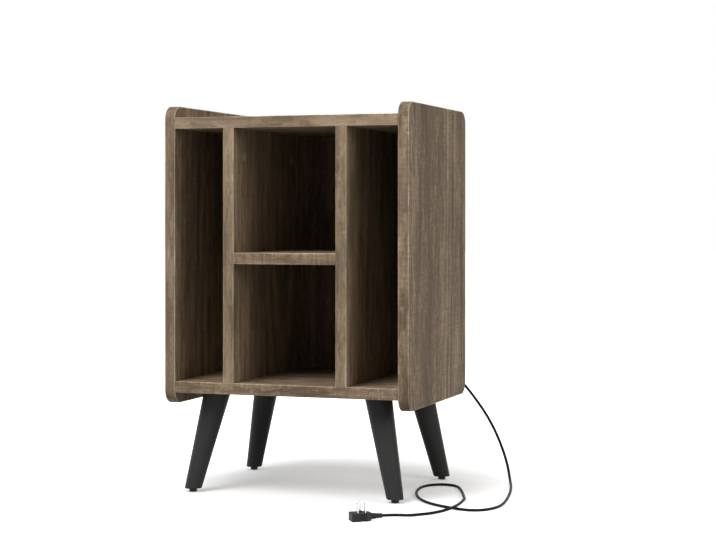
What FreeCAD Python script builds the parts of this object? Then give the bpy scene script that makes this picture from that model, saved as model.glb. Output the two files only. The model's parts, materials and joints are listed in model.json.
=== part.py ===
import FreeCAD, Part
import Sketcher
import math
import os
import re

# Record cabinet: four open bays between two tall side panels, on four splayed legs,
# with a charging station let into the back of the upper middle bay and its power cord.
# Millimetres. X runs to the right, Y to the back and Z up. The origin is on the floor,
# under the middle of the cabinet.

Vector = FreeCAD.Vector
Rotation = FreeCAD.Rotation
Placement = FreeCAD.Placement
RIGHT, BACK, UP = Vector(1, 0, 0), Vector(0, 1, 0), Vector(0, 0, 1)
LEFT, FRONT, DOWN = -RIGHT, -BACK, -UP
NO_TURN = Rotation()

SIZES = [
    # carcass
    ("cabinet_width", 457, "over both side panels"),
    ("cabinet_depth", 357, "front edges to rear edges"),
    ("board_thickness", 20, "every board but the back panel"),
    ("floor_gap", 181, "floor to the underside of the bottom panel"),
    ("side_drop", 20, "side panels reach below the bottom panel"),
    ("side_rise", 21, "side panels stand above the top panel"),
    ("side_corner_radius", 24, "the side panels' four corners"),
    ("side_edge_round", 2, "round along the side panels' edges"),
    ("board_edge_round", 1.2, "round along the front edges of the other boards"),
    ("centre_bay_width", 191, "clear width between the dividers"),
    ("lower_bay_height", 210, "clear height under the shelf"),
    ("upper_bay_height", 220, "clear height over the shelf"),
    ("back_panel_thickness", 12, "back panel"),
    ("back_recess", 15, "back panel's rear face to the rear edges"),
    # joints between the boards
    ("cam_diameter", 15, "cam lock"),
    ("cam_depth", 13, "cam lock, from the board's face"),
    ("cam_slot", 7.4, "slot that takes the bolt's head"),
    ("panel_cam_distance", 34, "cam centre to the end of the top and bottom panel"),
    ("divider_cam_distance", 49, "cam centre to the top end of a divider"),
    ("bolt_thread_diameter", 7, "cam bolt, in the mating board"),
    ("bolt_thread_length", 11, "cam bolt, in the mating board"),
    ("bolt_shank_diameter", 5, "cam bolt"),
    ("bolt_head_diameter", 7, "cam bolt, inside the cam"),
    ("bolt_head_length", 3, "cam bolt, inside the cam"),
    ("bolt_passage_diameter", 8, "hole for the cam bolt's shank"),
    ("cap_diameter", 16.5, "cover cap over a divider's cam"),
    ("cap_thickness", 0.8, "cover cap over a divider's cam"),
    ("front_cam_setback", 50, "front cams of top panel and dividers, behind the front"),
    ("rear_cam_setback", 50, "their rear cams, ahead of the back panel"),
    ("low_cam_room", 31, "leg plates to the bottom panel's cams, which stand between them"),
    ("dowel_diameter", 8, "wood dowel"),
    ("dowel_entry", 12, "wood dowel, in the face of the mating board"),
    ("dowel_reach", 18, "wood dowel, in the end of the other board"),
    ("dowel_edge_setback", 80, "dowels of the shelf and the back panel, from their corners"),
    ("long_screw_head_diameter", 10, "screw from below into a divider"),
    ("long_screw_head_length", 3, "screw from below into a divider"),
    ("long_screw_diameter", 7, "screw from below into a divider"),
    ("long_screw_length", 50, "screw from below into a divider"),
    ("back_screw_head_diameter", 8, "countersunk screw of the back panel"),
    ("back_screw_diameter", 4, "countersunk screw of the back panel"),
    ("back_screw_length", 30, "countersunk screw of the back panel"),
    ("back_screw_inset", 60, "outer back panel screws, from top and bottom"),
    ("shelf_screw_spacing", 100, "the two back panel screws into the shelf"),
    # legs
    ("leg_side_inset", 75.5, "leg axis at the underside, from the cabinet's side"),
    ("leg_front_inset", 62, "front legs' axis at the underside, behind the front"),
    ("leg_rear_inset", 54.5, "rear legs' axis at the underside, ahead of the rear edges"),
    ("leg_splay_out", 39.5, "how far the axis moves outwards down to the floor"),
    ("leg_splay_along", 23, "how far the axis moves to the front or back"),
    ("leg_top_diameter", 48, "at the panel's underside"),
    ("leg_foot_diameter", 29.7, "at the leg's lower end"),
    ("plate_size", 64, "leg plate, let into the bottom panel"),
    ("plate_thickness", 2.5, "leg plate"),
    ("plate_corner_radius", 6, "leg plate"),
    ("plate_clearance", 0.3, "leg plate in its recess, each side"),
    ("boss_diameter", 16, "leg plate's slanting threaded boss"),
    ("boss_height", 11, "leg plate's slanting threaded boss"),
    ("plate_screw_pitch", 50, "leg plate's four screws"),
    ("plate_screw_head_diameter", 7.5, "leg plate's screw"),
    ("plate_screw_diameter", 3.5, "leg plate's screw"),
    ("plate_screw_length", 16, "leg plate's screw"),
    ("hanger_bolt_diameter", 8, "bolt between leg and plate"),
    ("hanger_bolt_in_leg", 30, "bolt between leg and plate"),
    # levelling feet
    ("foot_height", 6.5, "floor to the leg's lower end, foot screwed right in"),
    ("foot_pad_diameter", 14, "foot pad"),
    ("foot_pad_height", 4, "foot pad"),
    ("foot_pad_bevel", 1, "foot pad's lower edge"),
    ("foot_neck_diameter", 9, "foot pad's neck, seated on the insert"),
    ("foot_screw_diameter", 6, "foot screw"),
    ("foot_screw_in_pad", 4, "foot screw"),
    ("foot_screw_in_leg", 18, "foot screw"),
    ("foot_screw_clearance", 0.1, "foot screw in its insert, on the radius"),
    ("insert_diameter", 10, "threaded insert in the leg"),
    ("insert_length", 13, "threaded insert in the leg"),
    ("screw_room", 2, "free depth over the foot screw"),
    # charging station
    ("station_offset", 35, "station's middle, to the right of the cabinet's"),
    ("faceplate_side_margin", 4, "faceplate past the housing, each side"),
    ("faceplate_screw_margin", 8.75, "faceplate past its screws' middle"),
    ("faceplate_screw_room", 2, "between a faceplate screw and the housing"),
    ("faceplate_thickness", 3.5, "faceplate"),
    ("faceplate_bevel_width", 4, "faceplate's sloping rim"),
    ("faceplate_bevel_depth", 1.5, "faceplate's sloping rim"),
    ("faceplate_screw_head_diameter", 6.5, "faceplate's screw"),
    ("faceplate_screw_diameter", 3.5, "faceplate's screw"),
    ("faceplate_screw_length", 14, "faceplate's screw"),
    ("room_over_outlets", 8.3, "upper outlet's block to the housing's wall"),
    ("outlet_spacing", 1.2, "between the outlets' blocks"),
    ("outlet_face", 27, "outlet's square face"),
    ("outlet_gap", 0.7, "gap round the outlet's face"),
    ("outlet_setback", 0.4, "outlet's face behind the faceplate's"),
    ("outlet_block_width", 36, "outlet's block behind the faceplate"),
    ("outlet_block_height", 32.6, "outlet's block behind the faceplate"),
    ("outlet_block_depth", 16, "outlet's block behind the faceplate"),
    ("blade_spacing", 12.7, "between the two blades of a plug"),
    ("ground_spacing", 11.9, "from the blades' middle to the ground pin"),
    ("line_slot_length", 7.2, "blade slot"),
    ("neutral_slot_length", 9, "blade slot, the longer one"),
    ("outlet_slot_width", 2.2, "blade slot"),
    ("outlet_ground_diameter", 5.8, "ground hole, round on the slots' side and square on the other"),
    ("outlet_depth", 14, "blade slots and ground hole"),
    ("bus_bar_width", 5, "contact bar behind the outlets"),
    ("bus_bar_thickness", 1, "contact bar behind the outlets"),
    ("bus_bar_spacing", 9, "between the contact bars"),
    ("usb_cover_width", 27, "cover of the USB module"),
    ("usb_cover_height", 42, "cover of the USB module"),
    ("usb_cover_radius", 3, "cover of the USB module"),
    ("usb_cover_thickness", 1.5, "cover of the USB module"),
    ("usb_cover_gap", 0.35, "groove round the cover"),
    ("usb_space", 14.6, "lower outlet's block to the USB cover"),
    ("room_under_usb", 0.7, "USB cover to the housing's wall"),
    ("usb_upper_rise", 2.1, "upper port over the cover's middle"),
    ("usb_port_pitch", 13.2, "between the two ports"),
    ("usb_port_width", 13.1, "port's metal shell"),
    ("usb_port_height", 5.8, "port's metal shell"),
    ("usb_port_depth", 13, "port's metal shell"),
    ("usb_wall", 0.4, "port's metal shell"),
    ("usb_clearance", 0.2, "round a port in cover and faceplate"),
    ("usb_tongue_width", 11.1, "tongue inside a port"),
    ("usb_tongue_height", 1.9, "tongue inside a port"),
    ("usb_tongue_reach", 9.5, "tongue inside a port"),
    ("usb_tongue_rise", 0.8, "tongue over the port's middle"),
    ("usb_board_width", 24, "circuit board behind the ports"),
    ("usb_board_height", 38, "circuit board behind the ports"),
    ("usb_board_thickness", 1.6, "circuit board behind the ports"),
    ("light_gap", 2.9, "indicator light's middle, beside the USB cover"),
    ("light_rise", 6.6, "indicator light, over the USB cover's middle"),
    ("light_diameter", 2.3, "indicator light"),
    ("light_flange_diameter", 4, "indicator light, behind the faceplate"),
    ("light_flange_length", 1.5, "indicator light, behind the faceplate"),
    ("light_proud", 0.3, "indicator light, ahead of the faceplate"),
    ("light_side_room", 2.6, "indicator light's flange to the housing's wall"),
    ("housing_wall", 2, "station's housing"),
    ("housing_clearance", 0.5, "housing in the back panel, each side"),
    # power cord
    ("cord_diameter", 5, "power cord"),
    ("gland_flange_diameter", 10, "strain relief, inside the housing"),
    ("gland_flange_length", 1.5, "strain relief, inside the housing"),
    ("gland_neck_diameter", 8, "strain relief, in the housing's wall"),
    ("gland_collar_diameter", 11, "strain relief, outside the housing"),
    ("gland_collar_length", 3, "strain relief, outside the housing"),
    ("gland_top_diameter", 9.5, "strain relief's taper"),
    ("gland_tip_diameter", 6.6, "strain relief's taper"),
    ("gland_taper_length", 25, "strain relief's taper"),
    ("plug_length", 34, "plug's body, along the cord"),
    ("plug_width", 25, "plug's body"),
    ("plug_height", 14, "plug's body, lying on its back"),
    ("plug_shoulder_length", 9, "plug's body, narrowing towards the cord"),
    ("plug_neck_width", 13, "plug's body, at the cord's end"),
    ("plug_round", 2.5, "round along the plug's edges"),
    ("plug_relief_length", 20, "strain relief on the plug"),
    ("plug_relief_root", 11, "strain relief on the plug"),
    ("plug_relief_tip", 7.5, "strain relief on the plug"),
    ("plug_relief_groove", 1.2, "depth of its grooves"),
    ("blade_width", 6.35, "plug's blade"),
    ("blade_thickness", 1.5, "plug's blade"),
    ("blade_length", 16, "plug's blade, out of the body"),
    ("blade_bevel", 1.2, "corners at a blade's tip"),
    ("ground_pin_diameter", 4.8, "plug's ground pin"),
    ("ground_pin_length", 17.5, "plug's ground pin, out of the body"),
    ("prong_anchor", 5, "blades and pin inside the body"),
    ("ground_boss_diameter", 9, "raised ring round the ground pin"),
    ("ground_boss_height", 1.6, "raised ring round the ground pin"),
    # working allowances
    ("overrun", 5, "how far a cutting shape passes a face"),
    ("hair", 0.01, "places closer than this count as the same"),
]

# The cord's route, chosen by hand from the photograph: out of the strain relief, down
# behind the cabinet, round its right rear corner to the floor, through one loop that
# crosses itself in a low hump, and into the plug.
CORD_ROUTE = [
    (35, 171, 445), (35, 171, 424), (37, 180, 392), (48, 187, 354), (70, 190, 315),
    (102, 190, 280), (138, 190, 250), (174, 190, 222), (209, 190, 191), (242, 189, 154),
    (273, 187, 112), (295, 183, 70), (312, 172, 30), (324, 144, 2.5), (339, 92, 2.5),
    (354, 27, 2.5), (366, -41, 2.5), (374, -101, 2.5), (373, -143, 2.5), (358, -175, 2.5),
    (332, -184, 2.5), (303, -171, 2.5), (272, -154, 2.5), (240, -125, 2.5), (214, -83, 2.5),
    (195, -31, 2.5), (187, 16, 2.5), (190, 47, 2.5), (205, 67, 2.5), (227, 71, 2.5),
    (247, 58, 2.5), (261, 28, 2.5), (277, -14, 2.5), (293, -62, 3.5), (308, -112, 8.5),
    (314, -172, 8.5), (304, -212, 5.5), (284, -232, 2.5), (268, -250, 2.5),
    (256, -270, 3.5), (240, -290.4, 7), (222, -303, 7),
]
# A run's share that each end gives to the arc at its corner.
ARC_SHARE = 0.45
# Two directions count as parallel when the cosine between them is over this share of one.
PARALLEL_SHARE = 0.9998

# Sizes that follow from others
BAY_HEIGHT = "(lower_bay_height + board_thickness + upper_bay_height)"
BACK_FACE = "cabinet_depth / 2 - back_recess - back_panel_thickness"
INNER_WIDTH = "(cabinet_width - 2 * board_thickness)"
BAY_DEPTH = "(cabinet_depth - back_recess - back_panel_thickness)"
SIDE_HEIGHT = f"(side_drop + 2 * board_thickness + {BAY_HEIGHT} + side_rise)"
LEG_SLANT = "(sqrt(leg_splay_out ^ 2 + leg_splay_along ^ 2) / floor_gap)"
LEG_LENGTH = f"((floor_gap - foot_height) * sqrt(1 + {LEG_SLANT} ^ 2))"
LEG_TAPER = f"((leg_top_diameter - leg_foot_diameter) / {LEG_LENGTH})"
BOSS_HOLE_DIAMETER = f"(boss_diameter + 2 * boss_height * {LEG_SLANT} + 2 * plate_clearance)"
BOSS_HOLE_DEPTH = f"(boss_height + boss_diameter / 2 * {LEG_SLANT} + plate_clearance)"
STATION_HEIGHT = "floor_gap + 2 * board_thickness + lower_bay_height + upper_bay_height / 2"
LIGHT_OFFSET = "(usb_cover_width / 2 + light_gap)"
HOUSING_WIDTH = f"(2 * ({LIGHT_OFFSET} + light_flange_diameter / 2 + light_side_room + housing_wall))"
HOUSING_HEIGHT = ("(2 * housing_wall + room_over_outlets + 2 * outlet_block_height + outlet_spacing"
                  " + usb_space + usb_cover_height + room_under_usb)")
UPPER_OUTLET = f"({HOUSING_HEIGHT} / 2 - housing_wall - room_over_outlets - outlet_block_height / 2)"
LOWER_OUTLET = f"({UPPER_OUTLET} - outlet_block_height - outlet_spacing)"
USB_RISE = f"({LOWER_OUTLET} - outlet_block_height / 2 - usb_space - usb_cover_height / 2)"
LIGHT_RISE = f"({USB_RISE} + light_rise)"
SCREW_PITCH = f"({HOUSING_HEIGHT} + faceplate_screw_diameter + 2 * faceplate_screw_room)"
FACEPLATE_WIDTH = f"({HOUSING_WIDTH} + 2 * faceplate_side_margin)"
FACEPLATE_HEIGHT = f"({SCREW_PITCH} + 2 * faceplate_screw_margin)"
GLAND_DEPTH = "(back_panel_thickness + back_recess / 2)"
GROUND_OFFSET = "(ground_spacing / 2)"

doc = FreeCAD.newDocument("record_cabinet")
sheet = doc.addObject("Spreadsheet::Sheet", "sizes")
ALIASES = {alias for alias, value, note in SIZES}
nodes = {}


def fill_sheet():
    """Write each size with its alias and its note into the spreadsheet."""
    for row, (alias, value, note) in enumerate(SIZES, start=1):
        sheet.set(f"A{row}", note)
        sheet.set(f"B{row}", str(value))
        sheet.setAlias(f"B{row}", alias)
    doc.recompute()


def size(alias):
    """Return a driving dimension."""
    return float(sheet.get(alias))


def bind(item, target, formula):
    """Drive a property by a formula in the sheet's aliases."""
    text = re.sub(r"[a-z_]+", lambda word: f"sizes.{word[0]}" if word[0] in ALIASES else word[0], formula)
    item.setExpression(target, text)


def move(item, across="0", along="0", height="0"):
    """Drive where a piece stands by three formulas."""
    for axis, formula in zip("xyz", (across, along, height)):
        bind(item, f"Placement.Base.{axis}", formula)
    return item


def keep(label, item):
    """Name a finished piece and remember it as a node."""
    item.Label = label
    nodes[label] = item
    return item


# Sketches and features


def new_body(name):
    return doc.addObject("PartDesign::Body", name + "_body")


def new_sketch(body, role, offset="0"):
    """Attach a sketch to one of the body's own origin planes, shifted along its normal."""
    sketch = body.newObject("Sketcher::SketchObject", "outline")
    plane = next(feature for feature in body.Origin.OriginFeatures if feature.Role == role)
    sketch.AttachmentSupport = [(plane, "")]
    sketch.MapMode = "FlatFace"
    bind(sketch, "AttachmentOffset.Base.z", offset)
    return sketch


def place_vertex(sketch, line, end, across, up):
    """Hold one end of a line, or a circle's centre, at two driven distances from the origin."""
    for kind, formula in (("DistanceX", across), ("DistanceY", up)):
        name = f"{kind}_{line}_{end}"
        index = sketch.addConstraint(Sketcher.Constraint(kind, -1, 1, line, end, 1))
        sketch.renameConstraint(index, name)
        bind(sketch, f"Constraints.{name}", formula)


def add_outline(sketch, corners):
    """Draw a closed outline whose corners follow pairs of formulas."""
    count = len(corners)
    first = sketch.GeometryCount
    starts = [Vector(math.cos(math.tau * step / count), math.sin(math.tau * step / count), 0)
              for step in range(count)]
    for step in range(count):
        sketch.addGeometry(Part.LineSegment(starts[step], starts[(step + 1) % count]), False)
    for step in range(count):
        after = first + (step + 1) % count
        sketch.addConstraint(Sketcher.Constraint("Coincident", first + step, 2, after, 1))
    for step, (across, up) in enumerate(corners):
        place_vertex(sketch, first + step, 1, across, up)


def add_rectangle(sketch, left, low, wide, high):
    right, top = f"({left}) + {wide}", f"({low}) + {high}"
    add_outline(sketch, [(left, low), (right, low), (right, top), (left, top)])


def add_circle(sketch, across, up, diameter):
    index = sketch.addGeometry(Part.Circle(Vector(), UP, 1), False)
    place_vertex(sketch, index, 3, across, up)
    name = f"Diameter_{index}"
    constraint = sketch.addConstraint(Sketcher.Constraint("Diameter", index, 1))
    sketch.renameConstraint(constraint, name)
    bind(sketch, f"Constraints.{name}", diameter)


def pad(body, sketch, length):
    feature = body.newObject("PartDesign::Pad", "pad")
    feature.Profile = sketch
    bind(feature, "Length", length)
    doc.recompute()
    return feature


def pocket(body, sketch, depth, towards_normal=False):
    """Cut a sketch into the body, against its normal unless told otherwise."""
    before = body.Shape.Volume
    feature = body.newObject("PartDesign::Pocket", "pocket")
    feature.Profile = sketch
    feature.Reversed = towards_normal
    bind(feature, "Length", depth)
    doc.recompute()
    if body.Shape.Volume >= before:
        raise RuntimeError(f"a pocket in {body.Name} cuts nothing")
    return feature


def dress(body, kind, names, size_formula):
    """Round or bevel the named edges, or all edges of the named faces."""
    base = body.Tip
    feature = body.newObject(f"PartDesign::{kind}", kind.lower())
    feature.Base = (base, names)
    bind(feature, "Radius" if kind == "Fillet" else "Size", size_formula)
    doc.recompute()
    return feature


def find_edges(body, wanted):
    """Name the body's straight edges that pass a test on their ends."""
    found = []
    for index, edge in enumerate(body.Shape.Edges, start=1):
        ends = [vertex.Point for vertex in edge.Vertexes]
        if len(ends) == 2 and wanted(*ends):
            found.append(f"Edge{index}")
    return found


def find_faces(body, normal):
    """Name the body's flat faces that look along a direction and lie furthest that way."""
    reach = max(vertex.Point.dot(normal) for vertex in body.Shape.Vertexes)
    return [f"Face{index}" for index, face in enumerate(body.Shape.Faces, start=1)
            if face.CenterOfMass.dot(normal) > reach - size("hair") and "Plane" in face.Surface.TypeId]


def along(direction):
    """Test whether an edge runs along a direction."""
    return lambda start, end: abs((end - start).normalize().dot(direction)) > PARALLEL_SHARE


def turned(name, corners):
    """Turn an outline of radius and height formulas round the body's Z axis."""
    body = new_body(name)
    sketch = new_sketch(body, "XZ_Plane")
    add_outline(sketch, corners)
    feature = body.newObject("PartDesign::Revolution", "turn")
    feature.Profile = sketch
    feature.ReferenceAxis = (sketch, ["V_Axis"])
    feature.Angle = 360
    doc.recompute()
    return body


# Primitives, cuts and groups


def block(name, wide, deep, high):
    box = doc.addObject("Part::Box", name)
    for target, formula in (("Length", wide), ("Width", deep), ("Height", high)):
        bind(box, target, formula)
    return box


def rod(name, diameter, length):
    cylinder = doc.addObject("Part::Cylinder", name)
    bind(cylinder, "Radius", f"({diameter}) / 2")
    bind(cylinder, "Height", length)
    return cylinder


def together(name, items):
    compound = doc.addObject("Part::Compound", name)
    compound.Links = items
    doc.recompute()
    return compound


def cut(name, base, tools):
    """Take some shapes away from a piece."""
    result = doc.addObject("Part::Cut", name + "_cut")
    result.Base = base
    result.Tool = tools[0] if len(tools) == 1 else together(name + "_tools", tools)
    doc.recompute()
    if result.Shape.Volume >= base.Shape.Volume:
        raise RuntimeError(f"a cut in {name} takes nothing away")
    return result


def join(name, items):
    result = doc.addObject("Part::MultiFuse", name + "_joined")
    result.Shapes = items
    doc.recompute()
    return result


def linked(name, master, place):
    """A linked copy of a master piece, moved as the master is."""
    link = doc.addObject("App::Link", name)
    link.LinkedObject = master
    link.LinkTransform = True
    link.Placement = place
    return link


def group(name, master, places):
    """Set one linked copy of a master piece at each place."""
    copies = [linked(f"{name}_{number}", master, place) for number, place in enumerate(places, start=1)]
    return together(name + "_group", copies)


def facing(point, into, face=None):
    """A place whose Z axis runs along one direction and X axis along another."""
    is_upright = abs(into.dot(UP)) > PARALLEL_SHARE
    face = face or (BACK if is_upright else UP)
    return Placement(point, Rotation(face, into.cross(face), into, "ZXY"))


# Levels and lines that several pieces share


def front_line():
    return -size("cabinet_depth") / 2


def back_face():
    """The back panel's front face."""
    return size("cabinet_depth") / 2 - size("back_recess") - size("back_panel_thickness")


def side_line():
    """The side panels' inner faces, on either side."""
    return size("cabinet_width") / 2 - size("board_thickness")


def divider_line():
    """The dividers' middle, on either side."""
    return (size("centre_bay_width") + size("board_thickness")) / 2


def bay_floor():
    return size("floor_gap") + size("board_thickness")


def shelf_top():
    return bay_floor() + size("lower_bay_height") + size("board_thickness")


def bay_ceiling():
    return shelf_top() + size("upper_bay_height")


# Hardware masters, each in its joint's own frame: Z runs into the board that holds it


def cam_bolt(name, distance):
    head = f"{distance} - bolt_head_length / 2"
    tip = f"{distance} + bolt_head_length / 2"
    thread, shank, knob = "bolt_thread_diameter / 2", "bolt_shank_diameter / 2", "bolt_head_diameter / 2"
    return turned(name, [
        ("0", "-bolt_thread_length"), (thread, "-bolt_thread_length"), (thread, "0"), (shank, "0"),
        (shank, head), (knob, head), (knob, tip), ("0", tip)])


def cam_lock(name, distance):
    """A cam whose face looks along X, with a slot for the bolt's head."""
    drum = rod(name + "_drum", "cam_diameter", "cam_depth")
    drum.Placement.Rotation = Rotation(UP, RIGHT)
    move(drum, "board_thickness / 2 - cam_depth", "0", distance)
    slot = block(name + "_slot", "cam_slot", "cam_slot", "cam_diameter / 2 + overrun + cam_slot / 2")
    move(slot, "-cam_slot / 2", "-cam_slot / 2", f"{distance} - cam_diameter / 2 - overrun")
    return cut(name, drum, [slot])


def cam_holes(name, distance):
    """What the cam's board loses: the cam's pocket and the bolt's passage."""
    pocket_hole = rod(name + "_pocket", "cam_diameter", "cam_depth + overrun")
    pocket_hole.Placement.Rotation = Rotation(UP, RIGHT)
    move(pocket_hole, "board_thickness / 2 - cam_depth", "0", distance)
    passage = rod(name + "_passage", "bolt_passage_diameter", f"{distance} + bolt_head_length + overrun")
    move(passage, "0", "0", "-overrun")
    return together(name, [pocket_hole, passage])


def cam_cap(name, distance):
    cap = rod(name, "cap_diameter", "cap_thickness")
    cap.Placement.Rotation = Rotation(UP, RIGHT)
    return move(cap, "board_thickness / 2", "0", distance)


def dowel(name):
    pin = rod(name, "dowel_diameter", "dowel_entry + dowel_reach")
    return move(pin, "0", "0", "-dowel_entry")


def countersunk_screw(name, kind):
    """A screw whose flat head lies on the plane Z = 0 and which runs along Z."""
    head, shank, length = f"{kind}_head_diameter / 2", f"{kind}_diameter / 2", f"{kind}_length"
    return turned(name, [("0", "0"), (head, "0"), (shank, f"{head} - {shank}"), (shank, length),
                         ("0", length)])


def long_screw(name):
    head, shank = "long_screw_head_diameter / 2", "long_screw_diameter / 2"
    return turned(name, [("0", "0"), (head, "0"), (head, "long_screw_head_length"),
                         (shank, "long_screw_head_length"), (shank, "long_screw_length"),
                         ("0", "long_screw_length")])


# Boards


def at_front_along(direction):
    """Test whether an edge runs along a direction on the boards' front line."""
    is_along = along(direction)
    return lambda start, end: is_along(start, end) and start.y < front_line() + size("hair")


def side_panel_blank(name):
    """A side panel with round corners, before it is drilled."""
    body = new_body(name)
    sketch = new_sketch(body, "YZ_Plane")
    add_rectangle(sketch, "-cabinet_depth / 2", "0", "cabinet_depth", SIDE_HEIGHT)
    pad(body, sketch, "board_thickness")
    dress(body, "Fillet", find_edges(body, along(RIGHT)), "side_corner_radius")
    dress(body, "Fillet", find_faces(body, LEFT) + find_faces(body, RIGHT), "side_edge_round")
    return body


def flat_board(name, wide, deep):
    """A level board, round along the two long edges at its front."""
    body = new_body(name)
    sketch = new_sketch(body, "XY_Plane")
    add_rectangle(sketch, f"-{wide} / 2", "-cabinet_depth / 2", wide, deep)
    pad(body, sketch, "board_thickness")
    dress(body, "Fillet", find_edges(body, at_front_along(RIGHT)), "board_edge_round")
    return body


def divider_blank(name):
    """A divider, round along the two upright edges at its front."""
    body = new_body(name)
    sketch = new_sketch(body, "YZ_Plane")
    add_rectangle(sketch, "-cabinet_depth / 2", "0", BAY_DEPTH, BAY_HEIGHT)
    pad(body, sketch, "board_thickness")
    dress(body, "Fillet", find_edges(body, at_front_along(UP)), "board_edge_round")
    return body


def carcass_joints():
    """Where the boards meet: places for cams, dowels and screws, by the joint they make."""
    front = front_line() + size("front_cam_setback")
    rear = back_face() - size("rear_cam_setback")
    plate_room = size("plate_size") / 2 + size("low_cam_room")
    low_front = leg_root(RIGHT, FRONT).y + plate_room
    low_rear = leg_root(RIGHT, BACK).y - plate_room
    middle = (front + rear) / 2
    half = size("board_thickness") / 2
    top, bottom = bay_ceiling() + half, bay_floor() - half
    shelf = shelf_top() - half
    edge = size("dowel_edge_setback")
    panel_middle = back_face() + size("back_panel_thickness") / 2
    joints = {name: [] for name in (
        "top_ends", "bottom_ends", "divider_tops", "end_dowels", "divider_dowels", "shelf_dowels",
        "back_dowels", "divider_feet")}
    for outward in (LEFT, RIGHT):
        inward = -outward
        side = outward * side_line()
        divider = outward * divider_line()
        joints["top_ends"] += [facing(side + BACK * y + UP * top, inward, DOWN) for y in (front, rear)]
        joints["bottom_ends"] += [facing(side + BACK * y + UP * bottom, inward, DOWN)
                                  for y in (low_front, low_rear)]
        joints["divider_tops"] += [facing(divider + BACK * y + UP * bay_ceiling(), DOWN, inward)
                                   for y in (front, rear)]
        joints["end_dowels"] += [facing(side + BACK * middle + UP * level, inward)
                                 for level in (bottom, top)]
        joints["divider_dowels"] += [facing(divider + BACK * middle + UP * bay_ceiling(), DOWN),
                                     facing(divider + BACK * middle + UP * bay_floor(), UP)]
        shelf_end = outward * (size("centre_bay_width") / 2) + UP * shelf
        joints["shelf_dowels"] += [facing(shelf_end + BACK * y, inward)
                                   for y in (front_line() + edge, back_face() - edge)]
        joints["back_dowels"] += [facing(side + BACK * panel_middle + UP * level, inward)
                                  for level in (bay_floor() + edge, bay_ceiling() - edge)]
        joints["divider_feet"] += [facing(divider + BACK * y + UP * size("floor_gap"), UP)
                                   for y in (low_front, low_rear)]
    return joints


def back_screw_places():
    """Screws through the back panel into the dividers and the shelf, from behind."""
    rear = back_face() + size("back_panel_thickness")
    inset = size("back_screw_inset")
    middle_height = (bay_floor() + bay_ceiling()) / 2
    shelf_height = shelf_top() - size("board_thickness") / 2
    spots = [outward * divider_line() + UP * height for outward in (LEFT, RIGHT)
             for height in (bay_floor() + inset, middle_height, bay_ceiling() - inset)]
    spots += [outward * (size("shelf_screw_spacing") / 2) + UP * shelf_height for outward in (LEFT, RIGHT)]
    return [facing(spot + BACK * rear, FRONT) for spot in spots]


def make_carcass():
    joints = carcass_joints()
    panel_bolt = cam_bolt("panel_bolt", "panel_cam_distance")
    panel_cam = cam_lock("panel_cam", "panel_cam_distance")
    panel_holes = cam_holes("panel_cam_holes", "panel_cam_distance")
    divider_bolt = cam_bolt("divider_bolt", "divider_cam_distance")
    divider_cam = cam_lock("divider_cam", "divider_cam_distance")
    divider_holes = cam_holes("divider_cam_holes", "divider_cam_distance")
    pin = dowel("dowel")
    panel_ends = joints["top_ends"] + joints["bottom_ends"]
    bolts = keep("panel_cam_bolts", group("panel_cam_bolts", panel_bolt, panel_ends))
    keep("panel_cam_locks", group("panel_cam_locks", panel_cam, panel_ends))
    tie_bolts = keep("divider_cam_bolts", group("divider_cam_bolts", divider_bolt, joints["divider_tops"]))
    keep("divider_cam_locks", group("divider_cam_locks", divider_cam, joints["divider_tops"]))
    keep("cam_cover_caps", group("cam_cover_caps", cam_cap("cap", "divider_cam_distance"),
                                 joints["divider_tops"]))
    dowels = {name: group(name, pin, joints[name]) for name in
              ("end_dowels", "divider_dowels", "shelf_dowels", "back_dowels")}
    keep("panel_dowels", dowels["end_dowels"])
    keep("divider_dowels", dowels["divider_dowels"])
    keep("shelf_dowels", dowels["shelf_dowels"])
    keep("back_panel_dowels", dowels["back_dowels"])
    feet_screws = keep("divider_screws", group("divider_screws", long_screw("long_screw"),
                                               joints["divider_feet"]))
    back_screws = keep("back_panel_screws", group("back_panel_screws",
                                                  countersunk_screw("back_screw", "back_screw"),
                                                  back_screw_places()))
    top_holes = group("top_panel_holes", panel_holes, joints["top_ends"])
    bottom_holes = group("bottom_panel_holes", panel_holes, joints["bottom_ends"])
    tie_holes = group("divider_holes", divider_holes, joints["divider_tops"])

    for label, corner in (("side_panel_left", "-cabinet_width / 2"),
                          ("side_panel_right", "cabinet_width / 2 - board_thickness")):
        blank = move(side_panel_blank(label), corner, "0", "floor_gap - side_drop")
        keep(label, cut(label, blank, [bolts, dowels["end_dowels"], dowels["back_dowels"]]))
    top = move(flat_board("top_panel", INNER_WIDTH, "cabinet_depth"), "0", "0",
               f"floor_gap + board_thickness + {BAY_HEIGHT}")
    keep("top_panel", cut("top_panel", top, [top_holes, tie_bolts, dowels["end_dowels"],
                                             dowels["divider_dowels"]]))
    for label, corner in (("divider_left", "-centre_bay_width / 2 - board_thickness"),
                          ("divider_right", "centre_bay_width / 2")):
        blank = move(divider_blank(label), corner, "0", "floor_gap + board_thickness")
        keep(label, cut(label, blank, [tie_holes, dowels["divider_dowels"], dowels["shelf_dowels"],
                                       feet_screws, back_screws]))
    shelf = move(flat_board("shelf", "centre_bay_width", BAY_DEPTH), "0", "0",
                 "floor_gap + board_thickness + lower_bay_height")
    keep("shelf", cut("shelf", shelf, [dowels["shelf_dowels"], back_screws]))
    leg_holes = make_leg_hardware()
    bottom = move(flat_board("bottom_panel", INNER_WIDTH, "cabinet_depth"), "0", "0", "floor_gap")
    keep("bottom_panel", cut("bottom_panel", bottom, [
        bottom_holes, dowels["end_dowels"], dowels["divider_dowels"], feet_screws] + leg_holes))
    make_back_panel([back_screws, dowels["back_dowels"]])


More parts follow.
